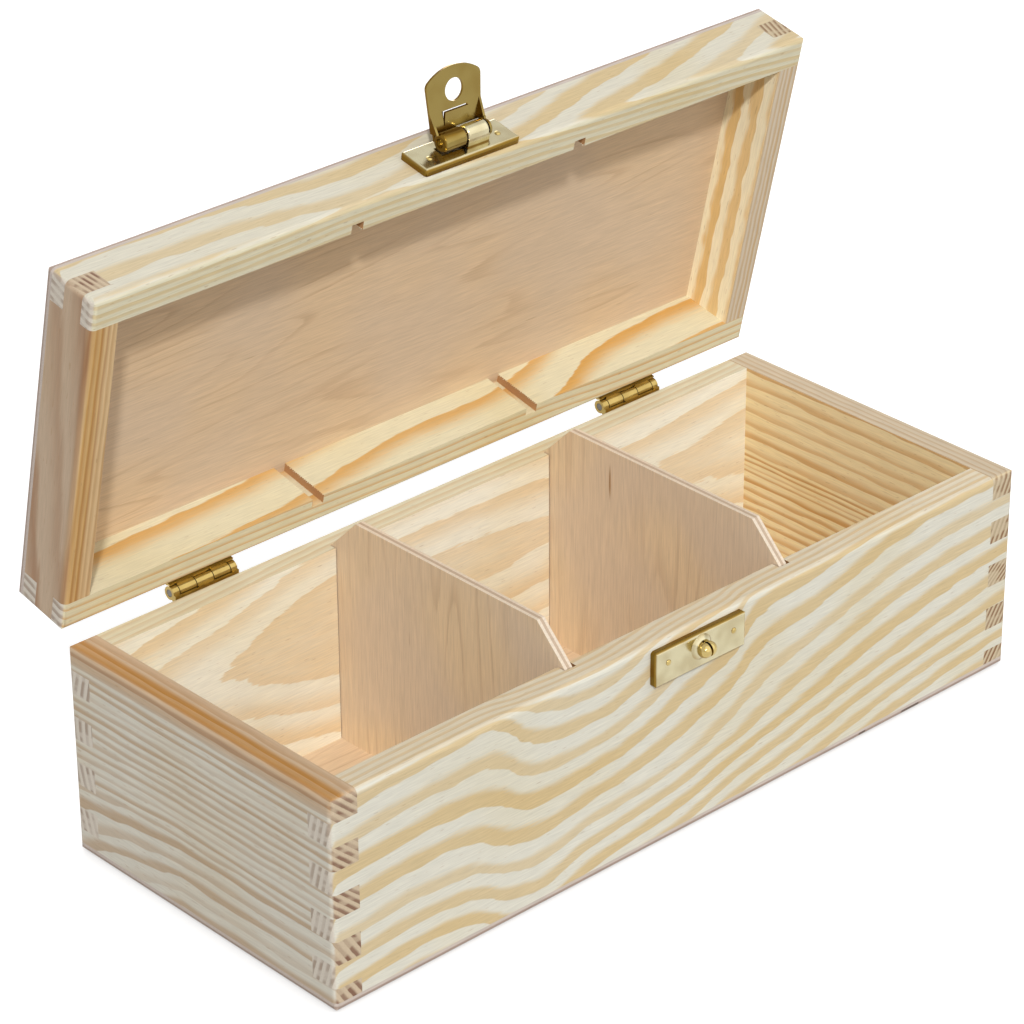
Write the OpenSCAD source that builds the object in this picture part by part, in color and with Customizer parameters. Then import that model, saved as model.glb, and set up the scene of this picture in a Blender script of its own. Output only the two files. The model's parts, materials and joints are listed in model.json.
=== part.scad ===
// Tea bag box: a finger-jointed pine box with a hinged lid, two plywood
// dividers and a small brass-plated hasp. Millimetres. The origin is the
// middle of the underside, +X runs along the box, the hasp faces -Y.

/* [Box] */
// Length of the box
box_l = 290; // [240:1:400]
// Depth of the box, front to back
box_d = 120; // [90:1:200]
// Height of the bottom part, with its floor
box_h = 72; // [60:1:140]
// Height of the lid, with its top panel
lid_h = 22; // [19:1:50]
// Thickness of the pine walls and rails
wall_t = 10; // [8:0.5:15]
// Thickness of the plywood floor and top panel
panel_t = 3; // [2:0.5:5]
// Radius of the sanded outer edges
ease_r = 2; // [0.5:0.25:3]
// Gap between the two rims when the lid is shut
rim_gap = 0.5; // [0.4:0.1:1]
// Angle at which the lid stands open
lid_open = 77.5; // [0:0.5:180]

/* [Finger joints] */
// Height of one finger
finger_h = 8; // [6:0.5:12]
// Width of the saw cut that parted the lid from the box
saw_cut = 3; // [2:0.5:4]

/* [Dividers] */
// Thickness of the plywood dividers
divider_t = 3.2; // [2.5:0.1:4]
// Clearance at each side of a divider in its grooves
groove_fit = 0.7; // [0.5:0.05:1]
// Depth of the grooves
groove_depth = 3; // [2:0.5:4]
// Clearance at each end of a divider in its grooves
divider_fit = 0.3; // [0.3:0.05:0.6]
// How far a divider rests to the left of its groove's middle
divider_lean = 0.4; // [0:0.1:0.4]
// Height of the dividers above the box rim
divider_stand = 12; // [4:0.5:12]

/* [Hinges] */
// Width of one hinge
hinge_w = 25; // [20:1:35]
// Distance from the box end to the middle of a hinge
hinge_inset = 54; // [30:1:70]
// Length of a leaf, from the pin to its edge
leaf_l = 12.5; // [10:0.5:14]
// Thickness of the leaves
leaf_t = 1; // [0.8:0.1:1.3]
// Diameter of the hinge pin
hinge_pin_d = 2.4; // [2:0.1:3]
// Distance from the back of the box to the middle of the hinge pin
hinge_out = 3; // [3:0.1:3.5]
// Width of the two outer knuckles
outer_knuckle_w = 2.5; // [2:0.5:4]
// Gap between neighbouring knuckles
knuckle_gap = 0.3; // [0.3:0.05:0.5]

/* [Hasp] */
// How far the hasp sits to the right of the box's middle
latch_x = 0; // [-20:0.5:20]
// Length of the two latch plates
plate_l = 38.5; // [34:0.5:46]
// Height of the two latch plates
plate_h = 12; // [11.5:0.5:16]
// How far the plates stand off the wood
plate_rise = 2.4; // [2:0.1:3]
// Radius of the plates' bent edges
plate_bend_r = 1.1; // [0.9:0.1:1.5]
// Thickness of the brass-plated sheet
sheet_t = 0.8; // [0.6:0.1:0.9]
// Distance from the lid rim to the hasp plate
hasp_edge = 0.8; // [0.6:0.1:2]
// Distance from the box rim to the strike plate
strike_edge = 2.1; // [2:0.1:4]
// Distance of the nails and the catch from a plate's middle line, towards the rims
latch_line = 1.2; // [0:0.1:1.2]
// Distance of the hasp pin from its plate's middle line, away from the rims
pin_line = 0.1; // [0:0.1:1]
// Height of the hasp pin above its plate
pin_stand = 2.9; // [2.6:0.1:3]
// Diameter of the hasp's barrel
barrel_d = 6.2; // [6:0.1:6.6]
// Length of the tongue's half of the barrel
curl_w = 9; // [8:0.5:10]
// Length of the plate's half of the barrel
knuckle_w = 8.6; // [7:0.1:9]
// Diameter of the hasp pin
hasp_pin_d = 2.8; // [2.4:0.1:3.2]
// Width of the tongue at the barrel
tongue_base_w = 20; // [19:0.5:22]
// Width of the tongue at its rounded end
tongue_end_w = 22; // [21:0.5:25]
// Radius of the arc that ends the tongue
tongue_end_r = 17; // [15:0.5:24]
// Radius of the tongue's two corners
tongue_corner_r = 2.5; // [1.5:0.5:4]
// Distance from the middle of the tongue's hole to its end
tongue_end = 7.7; // [6:0.1:9]
// Diameter of the hole that drops over the catch
tongue_hole_d = 7.2; // [7:0.1:7.6]
// Length of the tongue's bent side flanges
flange_l = 9; // [6:0.5:12]
// Width of the window in the tongue
window_w = 10; // [8:0.5:11]
// Height of the window in the tongue
window_l = 4.6; // [3:0.1:4.6]
// Tilt of the tab that fills the window
tab_tilt = 10; // [5:1:12]
// Diameter of each half of the catch's split ball
button_d = 4.8; // [4.4:0.1:5]
// How far each half of the ball is spread from the middle
button_spread = 0.9; // [0.6:0.1:0.9]
// Width of the slot between the two halves
button_slot_w = 0.8; // [0.6:0.1:1]
// Height of the catch above the strike plate
button_rise = 4.8; // [4.6:0.1:6.2]
// Diameter of the catch's neck
button_neck_d = 3.6; // [3:0.1:4]
// Diameter of the stamped skirt round the catch
skirt_d = 8.6; // [7.6:0.2:9.4]
// Height of that skirt
skirt_h = 1; // [0.6:0.1:1]
// Angle of the tongue from hanging straight down
tongue_open = 107; // [0:1:150]

/* [Nails] */
// Diameter of the nail shanks
nail_d = 1.2; // [1:0.1:1.4]
// Diameter of the nail heads
nail_head_d = 2; // [1.9:0.1:2.6]
// Height of the domed nail heads
nail_head_h = 0.5; // [0.4:0.1:0.8]
// Length of the nail shanks under the head
nail_l = 7; // [5:0.5:9]
// Distance of the latch nails from the middle of a plate
latch_nail_x = 13.9; // [13.5:0.1:14.5]

/* [Hidden] */
$fn = 64;

over = 1;              // how far a cutter runs past what it cuts
pin_fit = 0.05;        // radial running clearance of both pins
nail_fit = 0.02;       // radial clearance of a nail in its wood
leaf_hole_fit = 0.15;  // radial clearance of a nail in sheet metal
parting = 0.3;         // gap kept between pieces that move past each other
leaf_nail_shift = 0.8; // how far the leaf nails sit outside the middle of the flat part
barrel_round = 0.9;    // radius of the barrel's rounded ends
pin_recess = 1.2;      // depth of the hasp pin inside the tongue's half of the barrel
hasp_pin_head_h = 0.6; // height of the hasp pin's head
shoulder_gap = 0.1;    // extra room between the barrel and the tongue's shoulders
window_strip = 1.4;    // sheet left between the shoulders and the window
tab_gap = 0.3;         // gap round the tab in its window
rivet_h = 0.6;         // height and overhang of the catch's riveted tail
skirt_slope = 1.5;     // how far the skirt runs in for each millimetre of its height

// Box and lid heights
rim_z = box_h;
lid_z = rim_z + rim_gap;
lid_top_z = lid_z + lid_h;
lid_panel_z = lid_top_z - panel_t;
front_y = -box_d / 2;
back_y = box_d / 2;

// Grooves and dividers
inner_l = box_l - 2 * wall_t;
compartment_l = (inner_l - 2 * divider_t) / 3;
groove_x = (compartment_l + divider_t) / 2;
groove_w = divider_t + 2 * groove_fit;
divider_half = box_d / 2 - wall_t + groove_depth - divider_fit;

// Hinges
knuckle_d = hinge_pin_d + 2 * pin_fit + 2 * leaf_t;
hinge_y = back_y + hinge_out;
hinge_z = rim_z + rim_gap / 2;
hinge_x = box_l / 2 - hinge_inset;
inner_knuckle_w = (hinge_w - 2 * outer_knuckle_w) / 3;
leaf_nail_x = hinge_w / 4;
leaf_nail_drop = (leaf_l + knuckle_d / 2) / 2 + leaf_nail_shift;

// Hasp
plate_front_y = front_y - plate_rise;
hasp_z = lid_z + hasp_edge + plate_h / 2;
strike_z = rim_z - strike_edge - plate_h / 2;
hasp_nail_z = hasp_z - latch_line;
catch_z = strike_z + latch_line;
hasp_pin_y = plate_front_y - pin_stand;
hasp_pin_z = hasp_z + pin_line;
knuckle_split = knuckle_gap / 2;
curl_end_x = -knuckle_split - curl_w;
knuckle_end_x = knuckle_split + knuckle_w;
slot_half_h = sqrt(pow(barrel_d / 2 + parting, 2) - pow(pin_stand, 2)) + parting;
tongue_reach = hasp_pin_z - catch_z;
tongue_l = tongue_reach + tongue_end;
tongue_root = sqrt(pow(barrel_d / 2 + parting, 2) - pow(barrel_d / 2 - sheet_t, 2)) + shoulder_gap;
tongue_corner_x = tongue_end_w / 2 - tongue_corner_r;
tongue_corner_y = tongue_end_r - tongue_l
    - sqrt(pow(tongue_end_r - tongue_corner_r, 2) - pow(tongue_corner_x, 2));
ear_x = tongue_base_w / 2 - sheet_t;
ear_d = 2 * pin_stand - 2 * parting;
window_start = tongue_root + window_strip;
ball_y = plate_rise + button_rise - button_d / 2;

// ---- Shared shapes ----

// Rectangle with round corners, its middle at the origin
module round_rect(w, h, r) {
    square([w - 2 * r, h], center = true);
    square([w, h - 2 * r], center = true);
    for (sx = [-1, 1], sy = [-1, 1])
        translate([sx * (w / 2 - r), sy * (h / 2 - r)]) circle(r = r);
}

// Block with all twelve edges rounded, standing on z = 0
module eased_block(l, d, h, r) {
    translate([0, 0, h / 2]) intersection() {
        linear_extrude(h, center = true) round_rect(l, d, r);
        rotate([90, 0, 0]) linear_extrude(d, center = true) round_rect(l, h, r);
        rotate([90, 0, 90]) linear_extrude(l, center = true) round_rect(d, h, r);
    }
}

// Turns what it holds about an axis along X through y, z
module turned(y, z, angle) {
    translate([0, y, z]) rotate([-angle, 0, 0]) translate([0, -y, -z]) children();
}

// Everything on the lid is drawn shut and turned open about the hinge pin
module on_lid() {
    turned(hinge_y, hinge_z, lid_open) children();
}

// Rod along X from x0 to x1
module rod(x0, x1, d) {
    translate([x0, 0, 0]) rotate([0, 90, 0]) cylinder(d = d, h = x1 - x0);
}

// Nail pointing along +Y into the wood, its head's underside at y = 0
module nail() {
    rotate([-90, 0, 0]) cylinder(d = nail_d, h = nail_l);
    rotate([90, 0, 0]) rotate_extrude() intersection() {
        translate([0, nail_head_h - dome_r()]) circle(r = dome_r());
        square([nail_head_d, nail_head_h]);
    }
}

// Radius of the ball that a nail head is a cap of
function dome_r() = (nail_head_h * nail_head_h + nail_head_d * nail_head_d / 4) / (2 * nail_head_h);

// Places of the nails along the box
latch_nail_spots = [for (s = [-1, 1]) latch_x + s * latch_nail_x];
hinge_nail_spots = [for (h = [-1, 1], s = [-1, 1]) h * hinge_x + s * leaf_nail_x];

// Pilot holes in wood, from outside_y inwards along direction +1 or -1
module pilots(spots, z, outside_y, direction) {
    for (x = spots)
        translate([x, outside_y, z]) rotate([-90 * direction, 0, 0])
            translate([0, 0, -over]) cylinder(d = nail_d + 2 * nail_fit, h = nail_l + over);
}

// ---- Pine walls and rails ----

// The fingers that the end walls own, as blocks in the four corners. Slices
// are counted from the saw cut at from_z, and first is the first of theirs
module end_fingers(from_z, to_z, first_h, first) {
    slices = ceil((abs(to_z - from_z) - first_h) / finger_h) + 1;
    up = to_z > from_z ? 1 : -1;
    for (i = [first : 2 : slices - 1]) {
        near = i == 0 ? 0 : first_h + (i - 1) * finger_h;
        far = min(abs(to_z - from_z), first_h + i * finger_h);
        z0 = from_z + up * near;
        z1 = from_z + up * far;
        for (sx = [-1, 1], sy = [-1, 1])
            translate([sx * (box_l - wall_t) / 2, sy * (box_d - wall_t) / 2, (z0 + z1) / 2])
                cube([wall_t, wall_t, far - near], center = true);
    }
}

// Grooves for the dividers in both long sides
module grooves(z0, z1) {
    for (sx = [-1, 1])
        translate([sx * groove_x - groove_w / 2, -(box_d / 2 - wall_t + groove_depth), z0])
            cube([groove_w, 2 * (box_d / 2 - wall_t + groove_depth), z1 - z0]);
}

// Outer form of the bottom part, and of the lid
module box_form() {
    eased_block(box_l, box_d, box_h, ease_r);
}

module lid_form() {
    translate([0, 0, lid_z]) eased_block(box_l, box_d, lid_h, ease_r);
}

module box_long_wall(side) {
    intersection() {
        difference() {
            translate([-box_l / 2, side * (box_d - wall_t) / 2 - wall_t / 2, panel_t])
                cube([box_l, wall_t, box_h - panel_t]);
            end_fingers(rim_z, panel_t, finger_h, 0);
            grooves(panel_t - over, rim_z + over);
        }
        box_form();
    }
}

module box_end_wall(side) {
    intersection() {
        union() {
            translate([side * (box_l - wall_t) / 2 - wall_t / 2, wall_t - box_d / 2, panel_t])
                cube([wall_t, box_d - 2 * wall_t, box_h - panel_t]);
            intersection() {
                end_fingers(rim_z, panel_t, finger_h, 0);
                translate([side * box_l / 2 - box_l / 4, -box_d, 0]) cube([box_l / 2, 2 * box_d, box_h]);
            }
        }
        box_form();
    }
}

module lid_long_rail(side) {
    intersection() {
        difference() {
            translate([-box_l / 2, side * (box_d - wall_t) / 2 - wall_t / 2, lid_z])
                cube([box_l, wall_t, lid_h - panel_t]);
            end_fingers(lid_z, lid_panel_z, finger_h - saw_cut, 1);
            grooves(lid_z - over, lid_panel_z + over);
        }
        lid_form();
    }
}

module lid_end_rail(side) {
    intersection() {
        union() {
            translate([side * (box_l - wall_t) / 2 - wall_t / 2, wall_t - box_d / 2, lid_z])
                cube([wall_t, box_d - 2 * wall_t, lid_h - panel_t]);
            intersection() {
                end_fingers(lid_z, lid_panel_z, finger_h - saw_cut, 1);
                translate([side * box_l / 2 - box_l / 4, -box_d, lid_z]) cube([box_l / 2, 2 * box_d, lid_h]);
            }
        }
        lid_form();
    }
}

module front_wall() {
    color("burlywood") difference() {
        box_long_wall(-1);
        pilots(latch_nail_spots, catch_z, front_y, 1);
    }
}

module back_wall() {
    color("burlywood") difference() {
        box_long_wall(1);
        pilots(hinge_nail_spots, hinge_z - leaf_nail_drop, back_y, -1);
    }
}

module left_wall() {
    color("burlywood") box_end_wall(-1);
}

module right_wall() {
    color("burlywood") box_end_wall(1);
}

module floor_panel() {
    color("tan") intersection() {
        translate([-box_l / 2, -box_d / 2, 0]) cube([box_l, box_d, panel_t]);
        box_form();
    }
}

module lid_front_rail() {
    color("burlywood") on_lid() difference() {
        lid_long_rail(-1);
        pilots(latch_nail_spots, hasp_nail_z, front_y, 1);
    }
}

module lid_back_rail() {
    color("burlywood") on_lid() difference() {
        lid_long_rail(1);
        pilots(hinge_nail_spots, hinge_z + leaf_nail_drop, back_y, -1);
    }
}

module lid_left_rail() {
    color("burlywood") on_lid() lid_end_rail(-1);
}

module lid_right_rail() {
    color("burlywood") on_lid() lid_end_rail(1);
}

module lid_top_panel() {
    color("tan") on_lid() intersection() {
        translate([-box_l / 2, -box_d / 2, lid_panel_z]) cube([box_l, box_d, panel_t]);
        lid_form();
    }
}

// ---- Dividers ----

// Plywood sheet with its two upper corners cut off, standing on the floor
module divider(side) {
    color("bisque") translate([side * groove_x - divider_lean - divider_t / 2, 0, 0])
        rotate([90, 0, 90]) linear_extrude(divider_t) polygon([
            [-divider_half, panel_t],
            [divider_half, panel_t],
            [divider_half, rim_z],
            [divider_half - divider_stand, rim_z + divider_stand],
            [divider_stand - divider_half, rim_z + divider_stand],
            [-divider_half, rim_z]
        ]);
}

module left_divider() {
    divider(-1);
}

module right_divider() {
    divider(1);
}

// ---- Hinges ----

// Edges of the five knuckles, measured from the middle of the hinge
knuckle_edges = [
    [-hinge_w / 2, outer_knuckle_w - hinge_w / 2],
    [outer_knuckle_w - hinge_w / 2, -inner_knuckle_w / 2],
    [-inner_knuckle_w / 2, inner_knuckle_w / 2],
    [inner_knuckle_w / 2, hinge_w / 2 - outer_knuckle_w],
    [hinge_w / 2 - outer_knuckle_w, hinge_w / 2]
];

// Leaf with its knuckles on an axis at the origin: up is 1 for the lid's
// leaf and -1 for the box's, own and other are the knuckles of each
module hinge_leaf(up, own, other) {
    difference() {
        union() {
            translate([-hinge_w / 2, -hinge_out, up > 0 ? 0 : -leaf_l]) cube([hinge_w, leaf_t, leaf_l]);
            for (k = own) {
                x0 = knuckle_edges[k][0] + (k == 0 ? 0 : knuckle_gap / 2);
                x1 = knuckle_edges[k][1] - (k == 4 ? 0 : knuckle_gap / 2);
                rod(x0, x1, knuckle_d);
                // the sheet is cranked out from the leaf to the knuckle
                translate([x0, -hinge_out, up > 0 ? 0 : -knuckle_d / 2])
                    cube([x1 - x0, hinge_out - knuckle_d / 2 + leaf_t, knuckle_d / 2]);
            }
        }
        for (k = other) {
            x0 = knuckle_edges[k][0] - (k == 0 ? over : knuckle_gap / 2);
            x1 = knuckle_edges[k][1] + (k == 4 ? over : knuckle_gap / 2);
            translate([x0, -2 * hinge_out, up > 0 ? 0 : -parting]) cube([x1 - x0, 2 * hinge_out, parting]);
            rod(x0, x1, knuckle_d + 2 * parting);
            translate([x0, -knuckle_d, up > 0 ? -knuckle_d : 0]) cube([x1 - x0, 2 * knuckle_d, knuckle_d]);
        }
        rod(-hinge_w, hinge_w, hinge_pin_d + 2 * pin_fit);
        for (s = [-1, 1])
            translate([s * leaf_nail_x, 0, up * leaf_nail_drop]) rotate([90, 0, 0])
                cylinder(d = nail_d + 2 * leaf_hole_fit, h = knuckle_d);
        // the ends of the outer edge are rounded
        for (s = [-1, 1])
            translate([s * (hinge_w / 2 - ease_r), 0, up * (leaf_l - ease_r)]) rotate([90, 0, 0])
                difference() {
                    translate([s > 0 ? 0 : -2 * ease_r, up > 0 ? 0 : -2 * ease_r, 0])
                        cube([2 * ease_r, 2 * ease_r, knuckle_d]);
                    cylinder(r = ease_r, h = knuckle_d);
                }
    }
}

module hinge_box_leaf(side) {
    color("goldenrod") translate([side * hinge_x, hinge_y, hinge_z]) hinge_leaf(-1, [0, 2, 4], [1, 3]);
}

module hinge_lid_leaf(side) {
    color("goldenrod") on_lid()
        translate([side * hinge_x, hinge_y, hinge_z]) hinge_leaf(1, [1, 3], [0, 2, 4]);
}

module hinge_pin(side) {
    color("darkgoldenrod") translate([side * hinge_x, hinge_y, hinge_z])
        rod(-hinge_w / 2, hinge_w / 2, hinge_pin_d);
}

module left_hinge_box_leaf() {
    hinge_box_leaf(-1);
}

module right_hinge_box_leaf() {
    hinge_box_leaf(1);
}

module left_hinge_lid_leaf() {
    hinge_lid_leaf(-1);
}

module right_hinge_lid_leaf() {
    hinge_lid_leaf(1);
}

module left_hinge_pin() {
    hinge_pin(-1);
}

module right_hinge_pin() {
    hinge_pin(1);
}

module hinge_nails(z) {
    for (x = hinge_nail_spots)
        translate([x, back_y + leaf_t, z]) mirror([0, 1, 0]) nail();
}

module hinge_box_nails() {
    color("gold") hinge_nails(hinge_z - leaf_nail_drop);
}

module hinge_lid_nails() {
    color("gold") on_lid() hinge_nails(hinge_z + leaf_nail_drop);
}

// ---- Hasp ----

// Shallow tray of sheet metal, open towards the wood, its middle at height z
module latch_tray(z) {
    translate([latch_x, front_y, z]) difference() {
        intersection() {
            rotate([90, 0, 0]) linear_extrude(2 * plate_rise, center = true)
                round_rect(plate_l, plate_h, plate_bend_r);
            rotate([90, 0, 90]) linear_extrude(plate_l, center = true)
                round_rect(2 * plate_rise, plate_h, plate_bend_r);
            linear_extrude(plate_h, center = true) round_rect(plate_l, 2 * plate_rise, plate_bend_r);
            translate([-plate_l, -2 * plate_rise, -plate_h]) cube([2 * plate_l, 2 * plate_rise, 2 * plate_h]);
        }
        translate([sheet_t - plate_l / 2, sheet_t - plate_rise, sheet_t - plate_h / 2])
            cube([plate_l - 2 * sheet_t, plate_rise, plate_h - 2 * sheet_t]);
    }
}

// Holes for the two nails of a latch plate
module latch_nail_holes(z) {
    for (x = latch_nail_spots)
        translate([x, front_y, z]) rotate([90, 0, 0])
            cylinder(d = nail_d + 2 * leaf_hole_fit, h = plate_rise + over);
}

module latch_nails(z) {
    for (x = latch_nail_spots)
        translate([x, plate_front_y, z]) nail();
}

module strike_plate() {
    color("goldenrod") difference() {
        union() {
            latch_tray(strike_z);
            translate([latch_x, plate_front_y, catch_z]) rotate([90, 0, 0])
                cylinder(d1 = skirt_d, d2 = skirt_d - 2 * skirt_slope * skirt_h, h = skirt_h);
        }
        latch_nail_holes(catch_z);
        translate([latch_x, front_y, catch_z]) rotate([90, 0, 0])
            cylinder(d = button_neck_d + 2 * nail_fit, h = plate_rise + skirt_h + over);
    }
}

// Split ball that stands on the skirt, on a neck riveted over behind the plate
module catch_button() {
    skirt_top = plate_rise + skirt_h;
    tail_y = plate_rise - sheet_t - rivet_h;
    color("gold") translate([latch_x, front_y, catch_z]) rotate([90, 0, 0]) difference() {
        union() {
            translate([0, 0, tail_y]) cylinder(d = button_neck_d, h = ball_y - tail_y);
            translate([0, 0, tail_y]) cylinder(d = button_neck_d + 2 * rivet_h, h = rivet_h);
            for (s = [-1, 1])
                intersection() {
                    translate([s * button_spread, 0, ball_y]) sphere(d = button_d);
                    translate([-button_d, -button_d, skirt_top]) cube(2 * button_d);
                }
        }
        translate([-button_slot_w / 2, -button_d, skirt_top]) cube([button_slot_w, 2 * button_d, button_d]);
    }
}

module strike_nails() {
    color("gold") latch_nails(catch_z);
}

// Moves what it holds to the hasp pin
module on_hasp_pin() {
    translate([latch_x, hasp_pin_y, hasp_pin_z]) children();
}

// Rolled barrel along X from x0 to x1, its ends rounded
module barrel(x0, x1) {
    translate([(x0 + x1) / 2, 0, 0]) rotate([0, 90, 0]) rotate_extrude() intersection() {
        round_rect(barrel_d, x1 - x0, barrel_round);
        translate([0, x0 - x1]) square([barrel_d, 2 * (x1 - x0)]);
    }
}

// Tray with its half of the barrel on a pressed arch, and a slot for the
// tongue's half
module hasp_plate() {
    color("goldenrod") on_lid() difference() {
        union() {
            difference() {
                latch_tray(hasp_z);
                on_hasp_pin() translate([curl_end_x - parting, 0, -slot_half_h])
                    cube([knuckle_split - curl_end_x + parting, pin_stand + plate_rise, 2 * slot_half_h]);
            }
            on_hasp_pin() {
                barrel(knuckle_split, knuckle_end_x);
                translate([knuckle_split, 0, -barrel_d / 2])
                    cube([knuckle_w, pin_stand + sheet_t / 2, barrel_d]);
            }
        }
        on_hasp_pin() rod(-plate_l, plate_l, hasp_pin_d + 2 * pin_fit);
        latch_nail_holes(hasp_nail_z);
    }
}

// Outline of the tongue, hanging down from the pin: its end is one wide arc
// between two small corners
module tongue_outline() {
    arc_y = tongue_end_r - tongue_l;
    arc_share = tongue_end_r / (tongue_end_r - tongue_corner_r);
    arc_end_x = tongue_corner_x * arc_share;
    arc_end_y = arc_y + (tongue_corner_y - arc_y) * arc_share;
    difference() {
        union() {
            polygon([
                [-tongue_base_w / 2, -tongue_root],
                [tongue_base_w / 2, -tongue_root],
                [tongue_end_w / 2, tongue_corner_y],
                [arc_end_x, arc_end_y],
                [-arc_end_x, arc_end_y],
                [-tongue_end_w / 2, tongue_corner_y]
            ]);
            for (s = [-1, 1])
                translate([s * tongue_corner_x, tongue_corner_y]) circle(r = tongue_corner_r);
            intersection() {
                translate([0, arc_y]) circle(r = tongue_end_r);
                translate([-arc_end_x, -tongue_l - over])
                    square([2 * arc_end_x, arc_end_y + tongue_l + 2 * over]);
            }
            translate([curl_end_x, -tongue_root - over]) square([curl_w, tongue_root + over]);
        }
        translate([-window_w / 2, -window_start - window_l]) square([window_w, window_l]);
        translate([0, -tongue_reach]) circle(d = tongue_hole_d);
    }
}

// Side flanges of the tongue, bent towards the wood and tapering to nothing
module tongue_flanges() {
    side_l = -tongue_corner_y - tongue_root;
    end_x = (tongue_base_w + (tongue_end_w - tongue_base_w) * flange_l / side_l) / 2;
    intersection() {
        rotate([90, 0, 0]) linear_extrude(barrel_d, center = true)
            for (s = [-1, 1])
                polygon([
                    [s * tongue_base_w / 2, -tongue_root],
                    [s * ear_x, -tongue_root],
                    [s * (end_x - sheet_t), -tongue_root - flange_l],
                    [s * end_x, -tongue_root - flange_l]
                ]);
        rotate([90, 0, 90]) linear_extrude(2 * tongue_end_w, center = true)
            polygon([[-barrel_d / 2, -tongue_root], [0, -tongue_root], [-barrel_d / 2, -tongue_root - flange_l]]);
    }
}

// Tongue curled round the pin at one side, with an ear on it at the other
// side and a bent tab in its window
module hasp_tongue() {
    color("goldenrod") on_lid() on_hasp_pin() rotate([-tongue_open, 0, 0]) difference() {
        union() {
            translate([0, sheet_t - barrel_d / 2, 0]) {
                rotate([90, 0, 0]) linear_extrude(sheet_t) tongue_outline();
                translate([tab_gap - window_w / 2, 0, tab_gap - window_start]) rotate([180 + tab_tilt, 0, 0])
                    cube([window_w - 2 * tab_gap, sheet_t, window_l]);
            }
            barrel(curl_end_x, -knuckle_split);
            tongue_flanges();
            rod(ear_x, tongue_base_w / 2, ear_d);
            translate([ear_x, -ear_d / 2, -tongue_root - over]) cube([sheet_t, ear_d / 2, tongue_root + over]);
        }
        rod(-plate_l, plate_l, hasp_pin_d + 2 * pin_fit);
    }
}

// Pin through the barrel and the ear, with a domed head
module hasp_pin() {
    color("gold") on_lid() on_hasp_pin() {
        rod(curl_end_x + pin_recess, tongue_base_w / 2 + parting, hasp_pin_d);
        translate([tongue_base_w / 2 + parting, 0, 0]) rotate([0, 90, 0])
            cylinder(d1 = hasp_pin_d + 2 * hasp_pin_head_h, d2 = hasp_pin_d, h = hasp_pin_head_h);
    }
}

module hasp_nails() {
    color("gold") on_lid() latch_nails(hasp_nail_z);
}

front_wall();
back_wall();
left_wall();
right_wall();
floor_panel();
left_divider();
right_divider();
lid_front_rail();
lid_back_rail();
lid_left_rail();
lid_right_rail();
lid_top_panel();
left_hinge_box_leaf();
right_hinge_box_leaf();
left_hinge_lid_leaf();
right_hinge_lid_leaf();
left_hinge_pin();
right_hinge_pin();
hinge_box_nails();
hinge_lid_nails();
strike_plate();
catch_button();
strike_nails();
hasp_plate();
hasp_tongue();
hasp_pin();
hasp_nails();
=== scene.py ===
import ast
import json
import math

import bmesh
import bpy
from mathutils import Matrix, Vector


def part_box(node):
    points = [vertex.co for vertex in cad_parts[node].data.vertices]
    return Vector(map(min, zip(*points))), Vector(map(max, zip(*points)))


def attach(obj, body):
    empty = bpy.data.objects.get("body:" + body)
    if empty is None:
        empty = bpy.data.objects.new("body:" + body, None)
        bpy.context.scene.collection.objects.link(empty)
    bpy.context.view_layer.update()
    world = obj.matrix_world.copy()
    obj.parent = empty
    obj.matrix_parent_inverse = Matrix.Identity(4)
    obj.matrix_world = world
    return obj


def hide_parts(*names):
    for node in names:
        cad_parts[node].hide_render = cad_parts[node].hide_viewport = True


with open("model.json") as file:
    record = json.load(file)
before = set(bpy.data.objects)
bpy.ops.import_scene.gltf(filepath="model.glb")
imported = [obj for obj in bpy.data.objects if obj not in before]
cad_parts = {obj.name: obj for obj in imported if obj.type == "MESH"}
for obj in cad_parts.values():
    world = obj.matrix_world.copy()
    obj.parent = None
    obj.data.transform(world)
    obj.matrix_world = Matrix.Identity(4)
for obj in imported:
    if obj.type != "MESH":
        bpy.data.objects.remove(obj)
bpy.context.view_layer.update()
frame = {"nodes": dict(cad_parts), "record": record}


# ---- Front board: the front wall, and the lid's front rail sawn from the same board ----
# A flat-sawn pine board, finger-jointed into the ends, planed and sanded bare. The box is
# glued up shut and the lid sawn off, so both pieces show one run of growth rings.

MM = 0.001
BOX_L = 290.0
BOX_D = 120.0
WALL_T = 10.0
PANEL_T = 3.0
RIM_Z = 72.0
LID_Z = 72.5
LID_TOP_Z = 94.5
HINGE_Y = 63.0
HINGE_Z = 72.25
LID_OPEN = math.radians(77.5)
SANDED_EDGE = 0.35
GLUE_REACH = 0.05
MERGE_REACH = 0.002
FLAT_ANGLE = math.radians(0.5)
CREASE_ANGLE = math.radians(25)
SMOOTH_ANGLE = math.radians(32)

hinge_line = Vector((0, HINGE_Y, HINGE_Z))
open_turn = Matrix.Rotation(-LID_OPEN, 4, "X")
opened = Matrix.Translation(hinge_line) @ open_turn @ Matrix.Translation(-hinge_line)
shut = opened.inverted()


def linear(colour):
    """An sRGB hex colour as linear red, green, blue and alpha."""
    parts = [int(colour[i : i + 2], 16) / 255 for i in (1, 3, 5)]
    return [p / 12.92 if p <= 0.04045 else ((p + 0.055) / 1.055) ** 2.4 for p in parts] + [1.0]


def add(tree, kind, feeds=None, **settings):
    """Adds a node. Feeds give its sockets a value, or a node or socket to link from."""
    node = tree.nodes.new(kind)
    for name, value in settings.items():
        setattr(node, name, value)
    for socket, value in (feeds or {}).items():
        if isinstance(value, bpy.types.Node):
            value = value.outputs[0]
        if isinstance(value, bpy.types.NodeSocket):
            tree.links.new(value, node.inputs[socket])
        else:
            node.inputs[socket].default_value = value
    return node


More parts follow.
